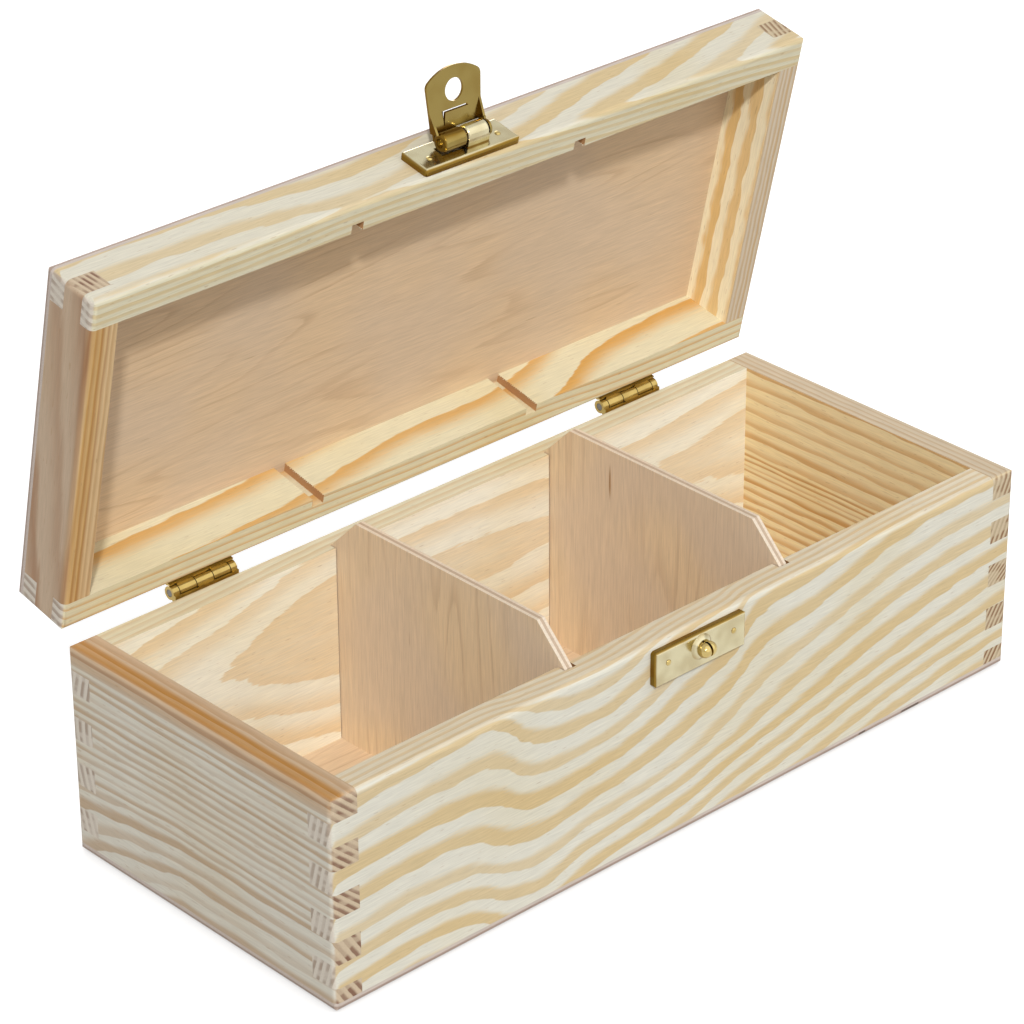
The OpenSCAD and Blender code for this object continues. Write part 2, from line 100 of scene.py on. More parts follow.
def formula(tree, text, **names):
    """Adds the nodes that work out a written formula of numbers and named sockets."""
    signs = {"Add": "ADD", "Sub": "SUBTRACT", "Mult": "MULTIPLY", "Div": "DIVIDE", "Pow": "POWER"}
    calls = {"min": "MINIMUM", "max": "MAXIMUM", "abs": "ABSOLUTE", "sqrt": "SQRT",
             "floor": "FLOOR", "fract": "FRACT"}

    def value(part):
        if isinstance(part, ast.Constant):
            return float(part.value)
        if isinstance(part, ast.Name):
            return names[part.id]
        if isinstance(part, ast.UnaryOp):
            return add(tree, "ShaderNodeMath", {0: value(part.operand), 1: -1.0}, operation="MULTIPLY")
        if isinstance(part, ast.BinOp):
            sign = signs[type(part.op).__name__]
            feeds = {0: value(part.left), 1: value(part.right)}
            return add(tree, "ShaderNodeMath", feeds, operation=sign)
        inputs = [value(a) for a in part.args]
        if part.func.id == "smooth":
            feeds = {"Value": inputs[0], "From Min": inputs[1], "From Max": inputs[2]}
            return add(tree, "ShaderNodeMapRange", feeds, interpolation_type="SMOOTHSTEP")
        return add(tree, "ShaderNodeMath", dict(enumerate(inputs)), operation=calls[part.func.id])

    return value(ast.parse(text).body[0].value)


def new_finish(name):
    """An empty material, and the tree that its nodes go in."""
    material = bpy.data.materials.new(name)
    material.use_nodes = True
    material.node_tree.nodes.clear()
    return material, material.node_tree


def in_shut_box(tree, on_lid, swing=0.0):
    """Where a point lies in the shut box, in millimetres, and which way it faces there.

    swing is how far a piece on the lid has turned beyond the lid itself.
    """
    coordinates = add(tree, "ShaderNodeTexCoord")
    turn = (LID_OPEN + swing if on_lid else 0.0, 0.0, 0.0)
    shift = shut.translation if on_lid else Vector((0, 0, 0))
    place = add(tree, "ShaderNodeMapping", {"Vector": coordinates.outputs["Object"],
                "Location": shift, "Rotation": turn, "Scale": (1 / MM, 1 / MM, 1 / MM)})
    facing = add(tree, "ShaderNodeMapping", {"Vector": coordinates.outputs["Normal"],
                 "Rotation": turn}, vector_type="VECTOR")
    return place, facing


def marks(tree, place, size, detail=0.0, **bend):
    """Soft random marks, from 0 to 1, of a size along three axes in millimetres."""
    spread = add(tree, "ShaderNodeMapping", {"Vector": place, "Scale": [1 / s for s in size]})
    return add(tree, "ShaderNodeTexNoise", {"Vector": spread, "Scale": 1.0, "Detail": detail, **bend})


def settle(piece):
    """Gives a piece the plain mesh that its modifiers make, and takes them off."""
    ready = bpy.context.evaluated_depsgraph_get()
    mesh = bpy.data.meshes.new_from_object(piece.evaluated_get(ready), depsgraph=ready)
    piece.modifiers.clear()
    piece.data = mesh
    return piece


def eased_copy(node, name, edge, material, glued=None, segments=2):
    """A CAD node's shape with its triangles merged and its sharp outer edges eased."""
    bm = bmesh.new()
    bm.from_mesh(frame["nodes"][node].data)
    bmesh.ops.remove_doubles(bm, verts=bm.verts, dist=MERGE_REACH * MM)
    bmesh.ops.dissolve_limit(bm, angle_limit=FLAT_ANGLE, verts=bm.verts, edges=bm.edges)
    weight = bm.edges.layers.float.new("bevel_weight_edge")
    for e in bm.edges:
        outer = e.is_manifold and e.is_convex and e.calc_face_angle(0) > CREASE_ANGLE
        middle = (e.verts[0].co + e.verts[1].co) / 2
        e[weight] = 1.0 if outer and not (glued and glued(middle)) else 0.0
    mesh = bpy.data.meshes.new(name)
    bm.to_mesh(mesh)
    bm.free()
    if "custom_normal" in mesh.attributes:
        mesh.attributes.remove(mesh.attributes["custom_normal"])
    mesh.shade_smooth()
    piece = bpy.data.objects.new(name, mesh)
    bpy.context.scene.collection.objects.link(piece)
    bevel = piece.modifiers.new("eased", "BEVEL")
    bevel.limit_method = "WEIGHT"
    bevel.width = edge * MM
    bevel.segments = segments
    settle(piece)
    piece.data.set_sharp_from_angle(angle=SMOOTH_ANGLE)
    normals = piece.modifiers.new("normals", "WEIGHTED_NORMAL")
    normals.keep_sharp = True
    settle(piece)
    piece.data.materials.clear()
    piece.data.materials.append(material)
    return piece


def body_of(node):
    """The body that a CAD node belongs to."""
    groups = frame["record"]["behaviour"]["bodies"]
    return [body for body, nodes in groups.items() if node in nodes][0]


def glue_line(point, turned):
    """True where fingers interlock in a corner, and where a panel is glued on."""
    p = turned @ (point / MM) if turned else point / MM
    in_corner = (abs(p.x) > BOX_L / 2 - WALL_T - GLUE_REACH
                 and abs(p.y) > BOX_D / 2 - WALL_T - GLUE_REACH)
    panels = (PANEL_T, LID_TOP_Z - PANEL_T)
    return in_corner or min(abs(p.z - z) for z in panels) < GLUE_REACH


def fit_board(node, material):
    """Puts a wall or rail in place of its CAD node, its free edges sanded round."""
    turned = shut if body_of(node) == "lid" else None
    board = eased_copy(node, node + "_board", SANDED_EDGE, material, lambda p: glue_line(p, turned))
    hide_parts(node)
    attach(board, body_of(node))


# Sizes of the marks in the wood, along the grain, up and through the board. The fibres and
# the pores are ten times wider than real so that they show
SWAY_W = 3.2
JAG = (9.0, 0.7, 0.7)
FIBRE = (9.0, 0.5, 0.5)
CANAL = (3.5, 0.4, 0.4)
CLOUD = (50.0, 50.0, 50.0)
PORE = (5 / 11, 5 / 11, 5 / 11)
CLEAN = (8.0, 8.0, 2.6)
SAWN_FROM = 30.0
SAWN_TO = 20.0
FIBRE_SHADE = 0.4
PORE_SHADE = 0.3
WOOD_SHINE = 0.35


def pine(name, rings_of, grain, colours, on_lid=False, late=(0.38, 0.64), jag=0.03, sway=0.12,
         sway_l=12, faint=0.72, crisp=0.955):
    """Pine, planed and sanded: a solid figure of growth rings that runs through the board.

    rings_of(tree, x, y, z) gives how many rings lie between the pith and a point, in
    millimetres in the shut box. Each ring runs from pale, soft earlywood into tan, hard
    latewood, which stops at a crisp line. Sawn ends show the rings darker. late is where
    latewood starts and is full, crisp where it ends, and faint the weakest ring's strength.
    jag and sway are how far a ring's line strays, in rings, and sway_l over what length.
    """
    material, tree = new_finish(name)
    place, facing = in_shut_box(tree, on_lid)
    x, y, z = add(tree, "ShaderNodeSeparateXYZ", {0: place}).outputs
    normal = add(tree, "ShaderNodeSeparateXYZ", {0: facing}).outputs
    along, through = (x, y) if grain == "X" else (y, x)
    fibre = add(tree, "ShaderNodeCombineXYZ", {0: along, 1: z, 2: through})

    # Slow sway of the rings, and the jagged line where a ring is cut at a shallow angle
    end = formula(tree, "smooth(abs(n), 0.55, 0.85)", n=normal[0 if grain == "X" else 1])
    slow = marks(tree, fibre, (sway_l, SWAY_W, SWAY_W), 1.0)
    quick = marks(tree, fibre, JAG, 2.0)
    count = formula(tree, f"rings + (1 - 0.75 * end) * {2 * sway} * (slow - 0.5)"
                    f" + (1 - end) * {2 * jag} * (quick - 0.5)",
                    rings=rings_of(tree, x, y, z), end=end, slow=slow, quick=quick)
    whole = formula(tree, "floor(count)", count=count)
    part = formula(tree, "fract(count)", count=count)
    luck = add(tree, "ShaderNodeTexWhiteNoise", {"W": whole}, noise_dimensions="1D")
    rim = formula(tree, "smooth(abs(n), 0.6, 0.9)", n=normal[2])

    # Fibres drawn out along the grain, and resin canals as short brown dashes
    fibres = marks(tree, fibre, FIBRE, 3.0)
    latewood = formula(tree, "smooth(part + 0.1 * (luck - 0.5) + 0.25 * (fibres - 0.5),"
                       f" {late[0]}, {late[1]})"
                       f" * (1 - smooth(part, {crisp}, 1)) * ({faint} + {1 - faint} * luck)"
                       " * (1 - 0.25 * rim)", part=part, luck=luck.outputs["Value"], rim=rim,
                       fibres=fibres)
    canals = formula(tree, "0.35 * smooth(n, 0.76, 0.84)", n=marks(tree, fibre, CANAL))
    pores = marks(tree, place, PORE, 2.0)

    side_wood = add(tree, "ShaderNodeMixRGB", {"Fac": latewood, "Color1": linear(colours["pale"]),
                    "Color2": linear(colours["tan"])})
    warm = formula(tree, "0.5 * smooth(n, 0.45, 0.7)", n=marks(tree, place, CLOUD, 1.0))
    side_wood = add(tree, "ShaderNodeMixRGB", {"Fac": warm, "Color1": side_wood,
                    "Color2": linear(colours["cloud"])}, blend_type="MULTIPLY")
    if "heart" in colours:
        heart = colours["heart_of"](tree, x, y, z, part)
        side_wood = add(tree, "ShaderNodeMixRGB", {"Fac": heart, "Color1": side_wood,
                        "Color2": linear(colours["heart"])}, blend_type="MULTIPLY")
    # Tints by which way a face points: rim tints the upward faces and face the others. They are
    # painted light and shade that set the tops and sides apart in tone; on the lid's left rail the
    # sides' tint is partly its own duller colour too.
    for tint, share in (("rim", rim), ("face", formula(tree, "1 - rim", rim=rim))):
        if tint in colours:
            side_wood = add(tree, "ShaderNodeMixRGB", {"Fac": share, "Color1": side_wood,
                            "Color2": linear(colours[tint])}, blend_type="MULTIPLY")
    side_wood = add(tree, "ShaderNodeMixRGB", {"Fac": canals, "Color1": side_wood,
                    "Color2": linear("#a57c50")})

    # Sawn ends: some fingers were sanded cleaner than others. The sides of the grooves in the
    # long boards take the sawn colour: sawn wood, which in the walls is darkened further as
    # painted shade of the narrow gaps beside the dividers
    end_rings = formula(tree, "smooth(part, 0.3, 0.65) * (1 - smooth(part, 0.9, 1))"
                        " * (0.75 + 0.25 * luck) * (1 - 0.65 * smooth(clean, 0.42, 0.62))",
                        part=part, luck=luck.outputs["Value"], clean=marks(tree, place, CLEAN))
    end_wood = add(tree, "ShaderNodeMixRGB", {"Fac": end_rings, "Color1": linear(colours["end_pale"]),
                   "Color2": linear(colours["end_dark"])})
    if "sawn" in colours:
        inside = formula(tree, f"1 - smooth(abs(a), {BOX_L / 2 - SAWN_FROM}, {BOX_L / 2 - SAWN_TO})",
                         a=along)
        end_wood = add(tree, "ShaderNodeMixRGB", {"Fac": inside, "Color1": end_wood,
                       "Color2": linear(colours["sawn"])})
    wood = add(tree, "ShaderNodeMixRGB", {"Fac": end, "Color1": side_wood, "Color2": end_wood})
    shade = formula(tree, f"1 + (1 - end) * {FIBRE_SHADE} * (fibres - 0.5)"
                    f" + end * {PORE_SHADE} * (pores - 0.5)",
                    end=end, fibres=fibres, pores=pores)
    wood = add(tree, "ShaderNodeMixRGB", {"Fac": 1.0, "Color1": wood, "Color2": shade},
               blend_type="MULTIPLY")
    gloss = formula(tree, "0.66 - 0.1 * late + 0.1 * end + 0.1 * (fibres - 0.5)",
                    late=latewood, end=end, fibres=fibres)
    relief = formula(tree, "fibres + 0.5 * late + end * pores", fibres=fibres, late=latewood,
                     end=end, pores=pores)
    bump = add(tree, "ShaderNodeBump", {"Strength": 0.35, "Distance": 0.06 * MM, "Height": relief})
    shader = add(tree, "ShaderNodeBsdfPrincipled", {"Base Color": wood, "Roughness": gloss,
                 "Normal": bump, "Specular IOR Level": WOOD_SHINE})
    add(tree, "ShaderNodeOutputMaterial", {"Surface": shader})
    return material


# Which ring lies at three depths under the rim, from the left end to the right end: the
# rings dip in the middle, where a knot was cut away above
FRONT_UPPER = [(0, 0.6), (50, 0.97), (62, 0.9), (80, -0.06), (105, -0.34), (120, 0.05),
               (140, 1.0), (160, 1.6), (172, 2.45), (200, 2.92), (240, 3.86), (290, 4.25)]
FRONT_MIDDLE = [(0, 3.8), (50, 3.95), (68, 3.3), (80, 3.12), (100, 3.41), (140, 4.0),
                (160, 4.69), (200, 6.05), (220, 6.64), (290, 8.0)]
FRONT_LOWER = [(0, 6.0), (50, 6.3), (70, 5.35), (80, 5.2), (100, 5.85), (140, 6.65),
               (160, 7.5), (200, 8.7), (240, 9.9), (290, 10.9)]
UPPER_DEPTH = 12.0
MIDDLE_DEPTH = 46.0
LOWER_DEPTH = 66.0
SWEEP_LOW = -1.0
SWEEP_HIGH = 11.0
BAND_MIDDLE = 0.78
# Rings that a millimetre of the board's thickness crosses
FRONT_RAKE = 0.36


def curve_along(tree, source, points, start, end, low, high):
    """A smooth curve through points along the board."""
    node = add(tree, "ShaderNodeFloatCurve", {"Value": source})
    curve = node.mapping.curves[0]
    spots = [((a - start) / (end - start), (v - low) / (high - low)) for a, v in points]
    for spot in spots[1:-1]:
        curve.points.new(*spot)
    curve.points[0].location = spots[0]
    curve.points[-1].location = spots[-1]
    node.mapping.update()
    return formula(tree, f"{low} + {high - low} * v", v=node)


def front_rings(tree, x, y, z):
    """Wide rings that sweep up to the right end and crowd together at its foot."""
    share = formula(tree, f"(x + {BOX_L / 2}) / {BOX_L}", x=x)
    upper, middle, lower = [curve_along(tree, share, sweep, 0, BOX_L, SWEEP_LOW, SWEEP_HIGH)
                            for sweep in (FRONT_UPPER, FRONT_MIDDLE, FRONT_LOWER)]
    down = formula(tree, f"{RIM_Z} - z", z=z)
    first = formula(tree, f"min((d - {UPPER_DEPTH}) / {MIDDLE_DEPTH - UPPER_DEPTH}, 1)", d=down)
    second = formula(tree, f"max((d - {MIDDLE_DEPTH}) / {LOWER_DEPTH - MIDDLE_DEPTH}, 0)", d=down)
    return formula(tree, "upper + (middle - upper) * first + (lower - middle) * second"
                   f" + {BAND_MIDDLE} - {FRONT_RAKE} * (y + {BOX_D / 2})",
                   upper=upper, middle=middle, lower=lower, first=first, second=second, y=y)


# Which ring lies along the lid's upper edge, and how far apart the rings lie below it
LID_FRONT_SWEEP = [(0, -0.18), (60, -0.23), (80, -0.45), (100, -0.64), (120, -0.5), (145, 0.0),
                   (165, 0.32), (185, 0.75), (205, 1.27), (225, 1.6), (248, 2.14), (265, 2.55),
                   (280, 3.09), (290, 3.4)]
LID_FRONT_RING = 11.0


def lid_front_rings(tree, x, y, z):
    """Broad rings in long swoops."""
    share = formula(tree, f"(x + {BOX_L / 2}) / {BOX_L}", x=x)
    sweep = curve_along(tree, share, LID_FRONT_SWEEP, 0, BOX_L, SWEEP_LOW, SWEEP_HIGH)
    return formula(tree, f"sweep + ({LID_TOP_Z} - z) / {LID_FRONT_RING} + {BAND_MIDDLE}"
                   f" - {FRONT_RAKE} * (y + {BOX_D / 2})", sweep=sweep, z=z, y=y)


# rim is a painted tone for the upward faces. In the wall, sawn is partly painted shade of the groove
# gaps; the lid rail's lighter sawn is the sawn wood.
front_colours = {"pale": "#dedacb", "tan": "#d3bb8d", "cloud": "#fbf4e2", "rim": "#fff6ea",
                 "end_pale": "#dcd2c3", "end_dark": "#ad9a88", "sawn": "#94693f"}
lid_front_colours = dict(front_colours, rim="#fffef2", pale="#dcd6c4", sawn="#b98c60")
front_pine = pine("pine flat-sawn front", front_rings, "X", front_colours)
lid_front_pine = pine("pine flat-sawn lid front", lid_front_rings, "X", lid_front_colours,
                      on_lid=True)
fit_board("front_wall", front_pine)
fit_board("lid_front_rail", lid_front_pine)


# ---- Back board: the back wall and the lid's back rail ----
# Pine cut near the face of the log, so its inside shows a pointed arch of wide rings.
# Its ends are fingered like the front board's, and the hinge leaves are nailed outside.

# How far the rings spread from the arch's middle along the box, in millimetres. Inside,
# the arch is filled with latewood as far as its ring runs flat along the face
ARCH_SPREAD = [(-145, -8), (-94, 0), (-49, 10.6), (0, 13.3), (77, 10.6), (145, 18)]
ARCH_Z = 45.0
ARCH_FACE = 10.0
ARCH_RING = 10.0
FILLED_RING = 0.72
FILLED_TO = -45.0
FILLED_FADE = 0.5
SPREAD_LOW = -20.0
SPREAD_HIGH = 40.0
BACK_RAKE = 0.33


def back_rings(tree, x, y, z):
    """Rings in an arch that opens towards the right end."""
    share = formula(tree, f"(x + {BOX_L / 2}) / {BOX_L}", x=x)
    wide = curve_along(tree, share, ARCH_SPREAD, -BOX_L / 2, BOX_L / 2, SPREAD_LOW, SPREAD_HIGH)
    return formula(tree, f"max((sqrt((z - {ARCH_Z}) ** 2 + {ARCH_FACE ** 2}) - wide) / {ARCH_RING},"
                   f" {FILLED_RING} - max(x - {FILLED_TO}, 0) / {ARCH_RING}"
                   f" - {FILLED_FADE} * (y - {BOX_D / 2 - WALL_T}))"
                   f" + {BACK_RAKE} * (y - {BOX_D / 2 - WALL_T})", x=x, z=z, y=y, wide=wide)


# Which ring lies along the upper edge of the lid's back rail
LID_BACK_SWEEP = [(-145, -0.25), (-95, -0.16), (-55, 0.03), (-20, 0.41), (0, 0.59), (20, 0.58),
                  (45, 0.72), (60, 0.95), (80, 1.5), (92, 1.7), (145, 1.9)]
LID_BACK_RING = 16.0
LID_BACK_FIRST = 9


def lid_back_rings(tree, x, y, z):
    """A few rings in long slants, each crisp on its upper side."""
    share = formula(tree, f"(x + {BOX_L / 2}) / {BOX_L}", x=x)
    sweep = curve_along(tree, share, LID_BACK_SWEEP, -BOX_L / 2, BOX_L / 2, SWEEP_LOW, SWEEP_HIGH)
    return formula(tree, f"{LID_BACK_FIRST} - sweep - ({LID_TOP_Z - PANEL_T} - z) / {LID_BACK_RING}"
                   f" + {BACK_RAKE} * (y - {BOX_D / 2 - WALL_T})", sweep=sweep, z=z, y=y)


# rim is a painted tone for the upward faces. In the wall, sawn is partly painted shade of the groove
# gaps; the lid rail's lighter sawn is the sawn wood.
back_colours = {"pale": "#f8f3e0", "tan": "#edd6af", "cloud": "#fbf2dc", "rim": "#e2dfd6",
                "end_pale": "#dcd2c3", "end_dark": "#ad9a88", "sawn": "#94693f"}
lid_back_colours = {"pale": "#dfd6b6", "tan": "#d2a055", "cloud": "#fbf2dc",
                    "end_pale": "#dcd2c3", "end_dark": "#ad9a88", "sawn": "#b98c60"}
back_pine = pine("pine arched back", back_rings, "X", back_colours, late=(0.15, 0.9), jag=0.09)
lid_back_pine = pine("pine arched lid back", lid_back_rings, "X", lid_back_colours,
                     on_lid=True, late=(0.45, 0.97), jag=0.05, sway=0.06)
fit_board("back_wall", back_pine)
fit_board("lid_back_rail", lid_back_pine)


# ---- Left board: the left end wall and the lid's left rail ----
# Pine cut across narrow rings, with a stripe of orange-brown heartwood where wall and lid
# were sawn apart. Its ends are fingers that show as end grain on the front and back.

LEFT_RINGS = 24
LEFT_WIDER_BY = 10
LEFT_WIDER_FROM = 0.65
LEFT_DROP = 2.5
LEFT_DROP_FROM = 10.0
LEFT_RAKE = 0.3
LID_LEFT_RAKE = 0.5
HEART_LOW = (65.0, 68.5)
HEART_HIGH = (73.5, 76.0)


def left_rings(tree, x, y, z):
    """Narrow level rings that run down towards the back in the wall's lower half."""
    down = formula(tree, f"({RIM_Z} - z) / {RIM_Z}", z=z)
    back = formula(tree, f"min(max((y - {LEFT_DROP_FROM}) / {BOX_D / 2 - LEFT_DROP_FROM}, 0), 1)", y=y)
    return formula(tree, f"{LEFT_RINGS} * down - {LEFT_WIDER_BY} * max(down - {LEFT_WIDER_FROM}, 0)"
                   f" - {LEFT_DROP} * back * max(down, 0) ** 2 - {LEFT_RAKE} * (x + {BOX_L / 2})",
                   down=down, back=back, x=x)


def left_heart(tree, x, y, z, part):
    """Heartwood in the outer half of the board where wall and lid were sawn apart."""
    return formula(tree, f"smooth(z, {HEART_LOW[0]}, {HEART_LOW[1]})"
                   f" * (1 - smooth(z, {HEART_HIGH[0]}, {HEART_HIGH[1]}))"
                   f" * (1 - 0.35 * smooth(x + {BOX_L / 2}, 4.5, 6.5)) * (0.8 + 0.2 * part)"
                   f" * (0.6 + 0.4 * smooth(x + {BOX_L / 2}, 0, 1.5))",
                   x=x, z=z, part=part)


LID_STREAK_RING = 12.0
LID_STREAK_SLOPE = 0.128
LID_STREAK_Z = 73.2
LID_STREAK_FIRST = 4


def lid_left_rings(tree, x, y, z):
    """One broad streak that climbs towards the front."""
    climb = formula(tree, f"z - {LID_STREAK_Z} - {LID_STREAK_SLOPE} * ({BOX_D / 2} - y)", y=y, z=z)
    return formula(tree, f"{BAND_MIDDLE} - climb / {LID_STREAK_RING} + {LID_STREAK_FIRST}"
                   f" - {LID_LEFT_RAKE} * (x + {BOX_L / 2})", climb=climb, x=x)


left_colours = {"pale": "#dcd6c7", "tan": "#bda588", "cloud": "#f7f0e4",
                "end_pale": "#cdb99d", "end_dark": "#7e5a46",
                "heart": "#d79f50", "heart_of": left_heart}
# face greys and darkens the lid rail's sides against its rim: partly the rail's own duller colour,
# partly painted shade of the sides.
lid_left_colours = {"pale": "#e8d6b4", "tan": "#bb936a", "cloud": "#f7f0e4", "face": "#dbd1d3",
                    "end_pale": "#cdb99d", "end_dark": "#7e5a46",
                    "heart": "#dcbc88", "heart_of": left_heart}
left_pine = pine("pine narrow-ringed left", left_rings, "Y", left_colours, late=(0.3, 0.75),
                 jag=0.02, sway=0.3, sway_l=24, faint=0.35)
lid_left_pine = pine("pine streaked lid left", lid_left_rings, "Y", lid_left_colours, on_lid=True,
                     late=(0.1, 0.9), jag=0.05, sway=0.2, sway_l=24, faint=0.6, crisp=0.7)
fit_board("left_wall", left_pine)
fit_board("lid_left_rail", lid_left_pine)


# ---- Right board: the right end wall and the lid's right rail ----
# Resinous pine with strong orange rings, close together half-way down the wall.
# It is fingered and glued like the left board.

# Rings in a millimetre down the wall, and how many more below the crowded part's top and
# below its foot, which are so far under the rim
RIGHT_RINGS = 0.2
CROWD_MORE = 0.3
CROWD_TOP = 31.0
CROWD_FOOT = 39.0
FOOT_MORE = 0.08
RIGHT_RAKE = 0.42
LID_RIGHT_RING = 7.5
LID_RIGHT_FIRST = 0.1
LID_RIGHT_RAKE = 0.5


def right_rings(tree, x, y, z):
    """Level rings that crowd together half-way down the wall."""
    down = formula(tree, f"{RIM_Z} - z", z=z)
    return formula(tree, f"{RIGHT_RINGS} * down"
                   f" + {CROWD_MORE} * min(max(down - {CROWD_TOP}, 0), {CROWD_FOOT - CROWD_TOP})"
                   f" + {FOOT_MORE} * max(down - {CROWD_FOOT}, 0) - {RIGHT_RAKE} * ({BOX_L / 2} - x)",
                   down=down, x=x)


def lid_right_rings(tree, x, y, z):
    """Wide level rings, cut steeply enough to crowd on the rim."""
    return formula(tree, f"({LID_TOP_Z - PANEL_T} - z) / {LID_RIGHT_RING} + {LID_RIGHT_FIRST}"
                   f" - {LID_RIGHT_RAKE} * ({BOX_L / 2} - x)", x=x, z=z)


# rim is a painted tone for the upward faces of the wall and of the lid's rail.
right_colours = {"pale": "#f2dfb2", "tan": "#cf9f60", "cloud": "#fbeed0", "rim": "#d8d7e6",
                 "end_pale": "#cdbb9c", "end_dark": "#86603f"}
lid_right_colours = {"pale": "#fbf1d2", "tan": "#e2b86c", "cloud": "#fbeed0", "rim": "#d9d2d5",
                     "end_pale": "#cdbb9c", "end_dark": "#86603f"}
right_pine = pine("pine resinous right", right_rings, "Y", right_colours, late=(0.35, 0.85),
                  jag=0.04, sway=0.25, sway_l=18, faint=0.5)
lid_right_pine = pine("pine resinous lid right", lid_right_rings, "Y", lid_right_colours,
                      on_lid=True, late=(0.3, 0.6), jag=0.05, sway=0.25, sway_l=10, faint=0.6)
fit_board("right_wall", right_pine)
fit_board("lid_right_rail", lid_right_pine)


# ---- Groove edges ----
# The divider grooves are sawn across the grain of both long boards, and the blade tears
# short splinters out of the soft earlywood along both edges of each groove.

DIVIDER_T = 3.2
GROOVE_FIT = 0.7
SPLINTER_STEP = 0.8
SPLINTER_L = 0.8
SPLINTER_T = 0.42
SPLINTER_DEPTH = 0.12
SPLINTER_GAP = 0.05
SPLINTER_SIDES = 5
SPLINTER_END = 0.5

inner_l = BOX_L - 2 * WALL_T
groove_x = ((inner_l - 2 * DIVIDER_T) / 3 + DIVIDER_T) / 2
groove_half = DIVIDER_T / 2 + GROOVE_FIT


def splinter_tree():
    """Strews flat splinters along lines, each one pointing into the groove."""
    tree = bpy.data.node_groups.new("splinters", "GeometryNodeTree")
    face = tree.interface
    face.new_socket("Lines", in_out="INPUT", socket_type="NodeSocketGeometry")
    for name in ("Step", "Length", "Thickness", "Depth"):
        face.new_socket(name, in_out="INPUT", socket_type="NodeSocketFloat")
    face.new_socket("Seed", in_out="INPUT", socket_type="NodeSocketInt")
    face.new_socket("Wood", in_out="INPUT", socket_type="NodeSocketMaterial")
    face.new_socket("Splinters", in_out="OUTPUT", socket_type="NodeSocketGeometry")
    given = add(tree, "NodeGroupInput").outputs
    side = add(tree, "GeometryNodeInputNamedAttribute", {"Name": "into_groove"}, data_type="FLOAT")
    room = add(tree, "GeometryNodeInputNamedAttribute", {"Name": "room"}, data_type="FLOAT")
    curves = add(tree, "GeometryNodeMeshToCurve", {"Mesh": given["Lines"]})
    points = add(tree, "GeometryNodeCurveToPoints", {"Curve": curves, "Length": given["Step"]},
                 mode="LENGTH")
    cone = add(tree, "GeometryNodeMeshCone", {"Vertices": SPLINTER_SIDES, "Radius Bottom": 0.5,
               "Depth": 1.0})
    luck = add(tree, "FunctionNodeRandomValue", {"Min": 0.15, "Max": 1.0, "Seed": given["Seed"]},
               data_type="FLOAT")
    luck_out = [s for s in luck.outputs if s.enabled][0]
    longest = add(tree, "ShaderNodeMath", {0: given["Length"], 1: room}, operation="MINIMUM")
    length = add(tree, "ShaderNodeMath", {0: longest, 1: luck_out}, operation="MULTIPLY")
    size = add(tree, "ShaderNodeCombineXYZ", {0: given["Thickness"], 1: given["Depth"], 2: length})
    yaw = add(tree, "ShaderNodeMath", {0: side, 1: math.pi / 2}, operation="MULTIPLY")
    turn = add(tree, "ShaderNodeCombineXYZ", {1: yaw})
    slivers = add(tree, "GeometryNodeInstanceOnPoints", {"Points": points, "Instance": cone,
                  "Rotation": turn, "Scale": size})
    solid = add(tree, "GeometryNodeRealizeInstances", {"Geometry": slivers})
    done = add(tree, "GeometryNodeSetMaterial", {"Geometry": solid, "Material": given["Wood"]})
    add(tree, "NodeGroupOutput", {"Splinters": done})
    return tree


def run_tree(piece, tree, **values):
    """Runs a node tree on a piece, with its named inputs set, and keeps the mesh."""
    modifier = piece.modifiers.new(tree.name, "NODES")
    modifier.node_group = tree
    for socket in tree.interface.items_tree:
        if socket.in_out == "INPUT" and socket.name in values:
            modifier[socket.identifier] = values[socket.name]
    return settle(piece)


def torn_grooves(name, board, side, low_z, high_z, material, seed):
    """Splinters on both edges of both grooves in one long board, short of the dividers."""
    face_y = side * (BOX_D / 2 - WALL_T + SPLINTER_DEPTH / 2)
    placed = opened if body_of(board) == "lid" else Matrix.Identity(4)
    mesh = bpy.data.meshes.new(name)
    points, edges, into, room = [], [], [], []
    for groove, divider in ((-groove_x, "left_divider"), (groove_x, "right_divider")):
        for edge, corner in zip((-1, 1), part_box(divider)):
            gap = abs(corner.x - (groove + edge * groove_half) * MM) - SPLINTER_GAP * MM
            for z in (low_z, high_z):
                points.append(placed @ Vector((groove + edge * groove_half, face_y, z)) * MM)
                into.append(-edge)
                room.append(gap)
            edges.append((len(points) - 2, len(points) - 1))
    mesh.from_pydata(points, edges, [])
    mesh.attributes.new("into_groove", "FLOAT", "POINT").data.foreach_set("value", into)
    mesh.attributes.new("room", "FLOAT", "POINT").data.foreach_set("value", room)
    piece = bpy.data.objects.new(name, mesh)
    bpy.context.scene.collection.objects.link(piece)
    run_tree(piece, splinters, Step=SPLINTER_STEP * MM, Length=SPLINTER_L * MM,
             Thickness=SPLINTER_T * MM, Depth=SPLINTER_DEPTH * MM, Seed=seed, Wood=material)
    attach(piece, body_of(board))


splinters = splinter_tree()
wall_groove = (PANEL_T + SPLINTER_END, RIM_Z - SPLINTER_END)
lid_groove = (LID_Z + SPLINTER_END, LID_TOP_Z - PANEL_T - SPLINTER_END)
torn_grooves("front_wall_splinters", "front_wall", -1, *wall_groove, front_pine, 3)
torn_grooves("back_wall_splinters", "back_wall", 1, *wall_groove, back_pine, 5)
torn_grooves("lid_front_splinters", "lid_front_rail", -1, *lid_groove, lid_front_pine, 7)
torn_grooves("lid_back_splinters", "lid_back_rail", 1, *lid_groove, lid_back_pine, 11)


# ---- Floor and lid panels ----
# Birch plywood of three plies, glued flush on the edges of the walls and rails and sanded.
# Its faces are rotary cut, with faint wavy figure and short brown flecks.

PLY_EDGE = 0.2
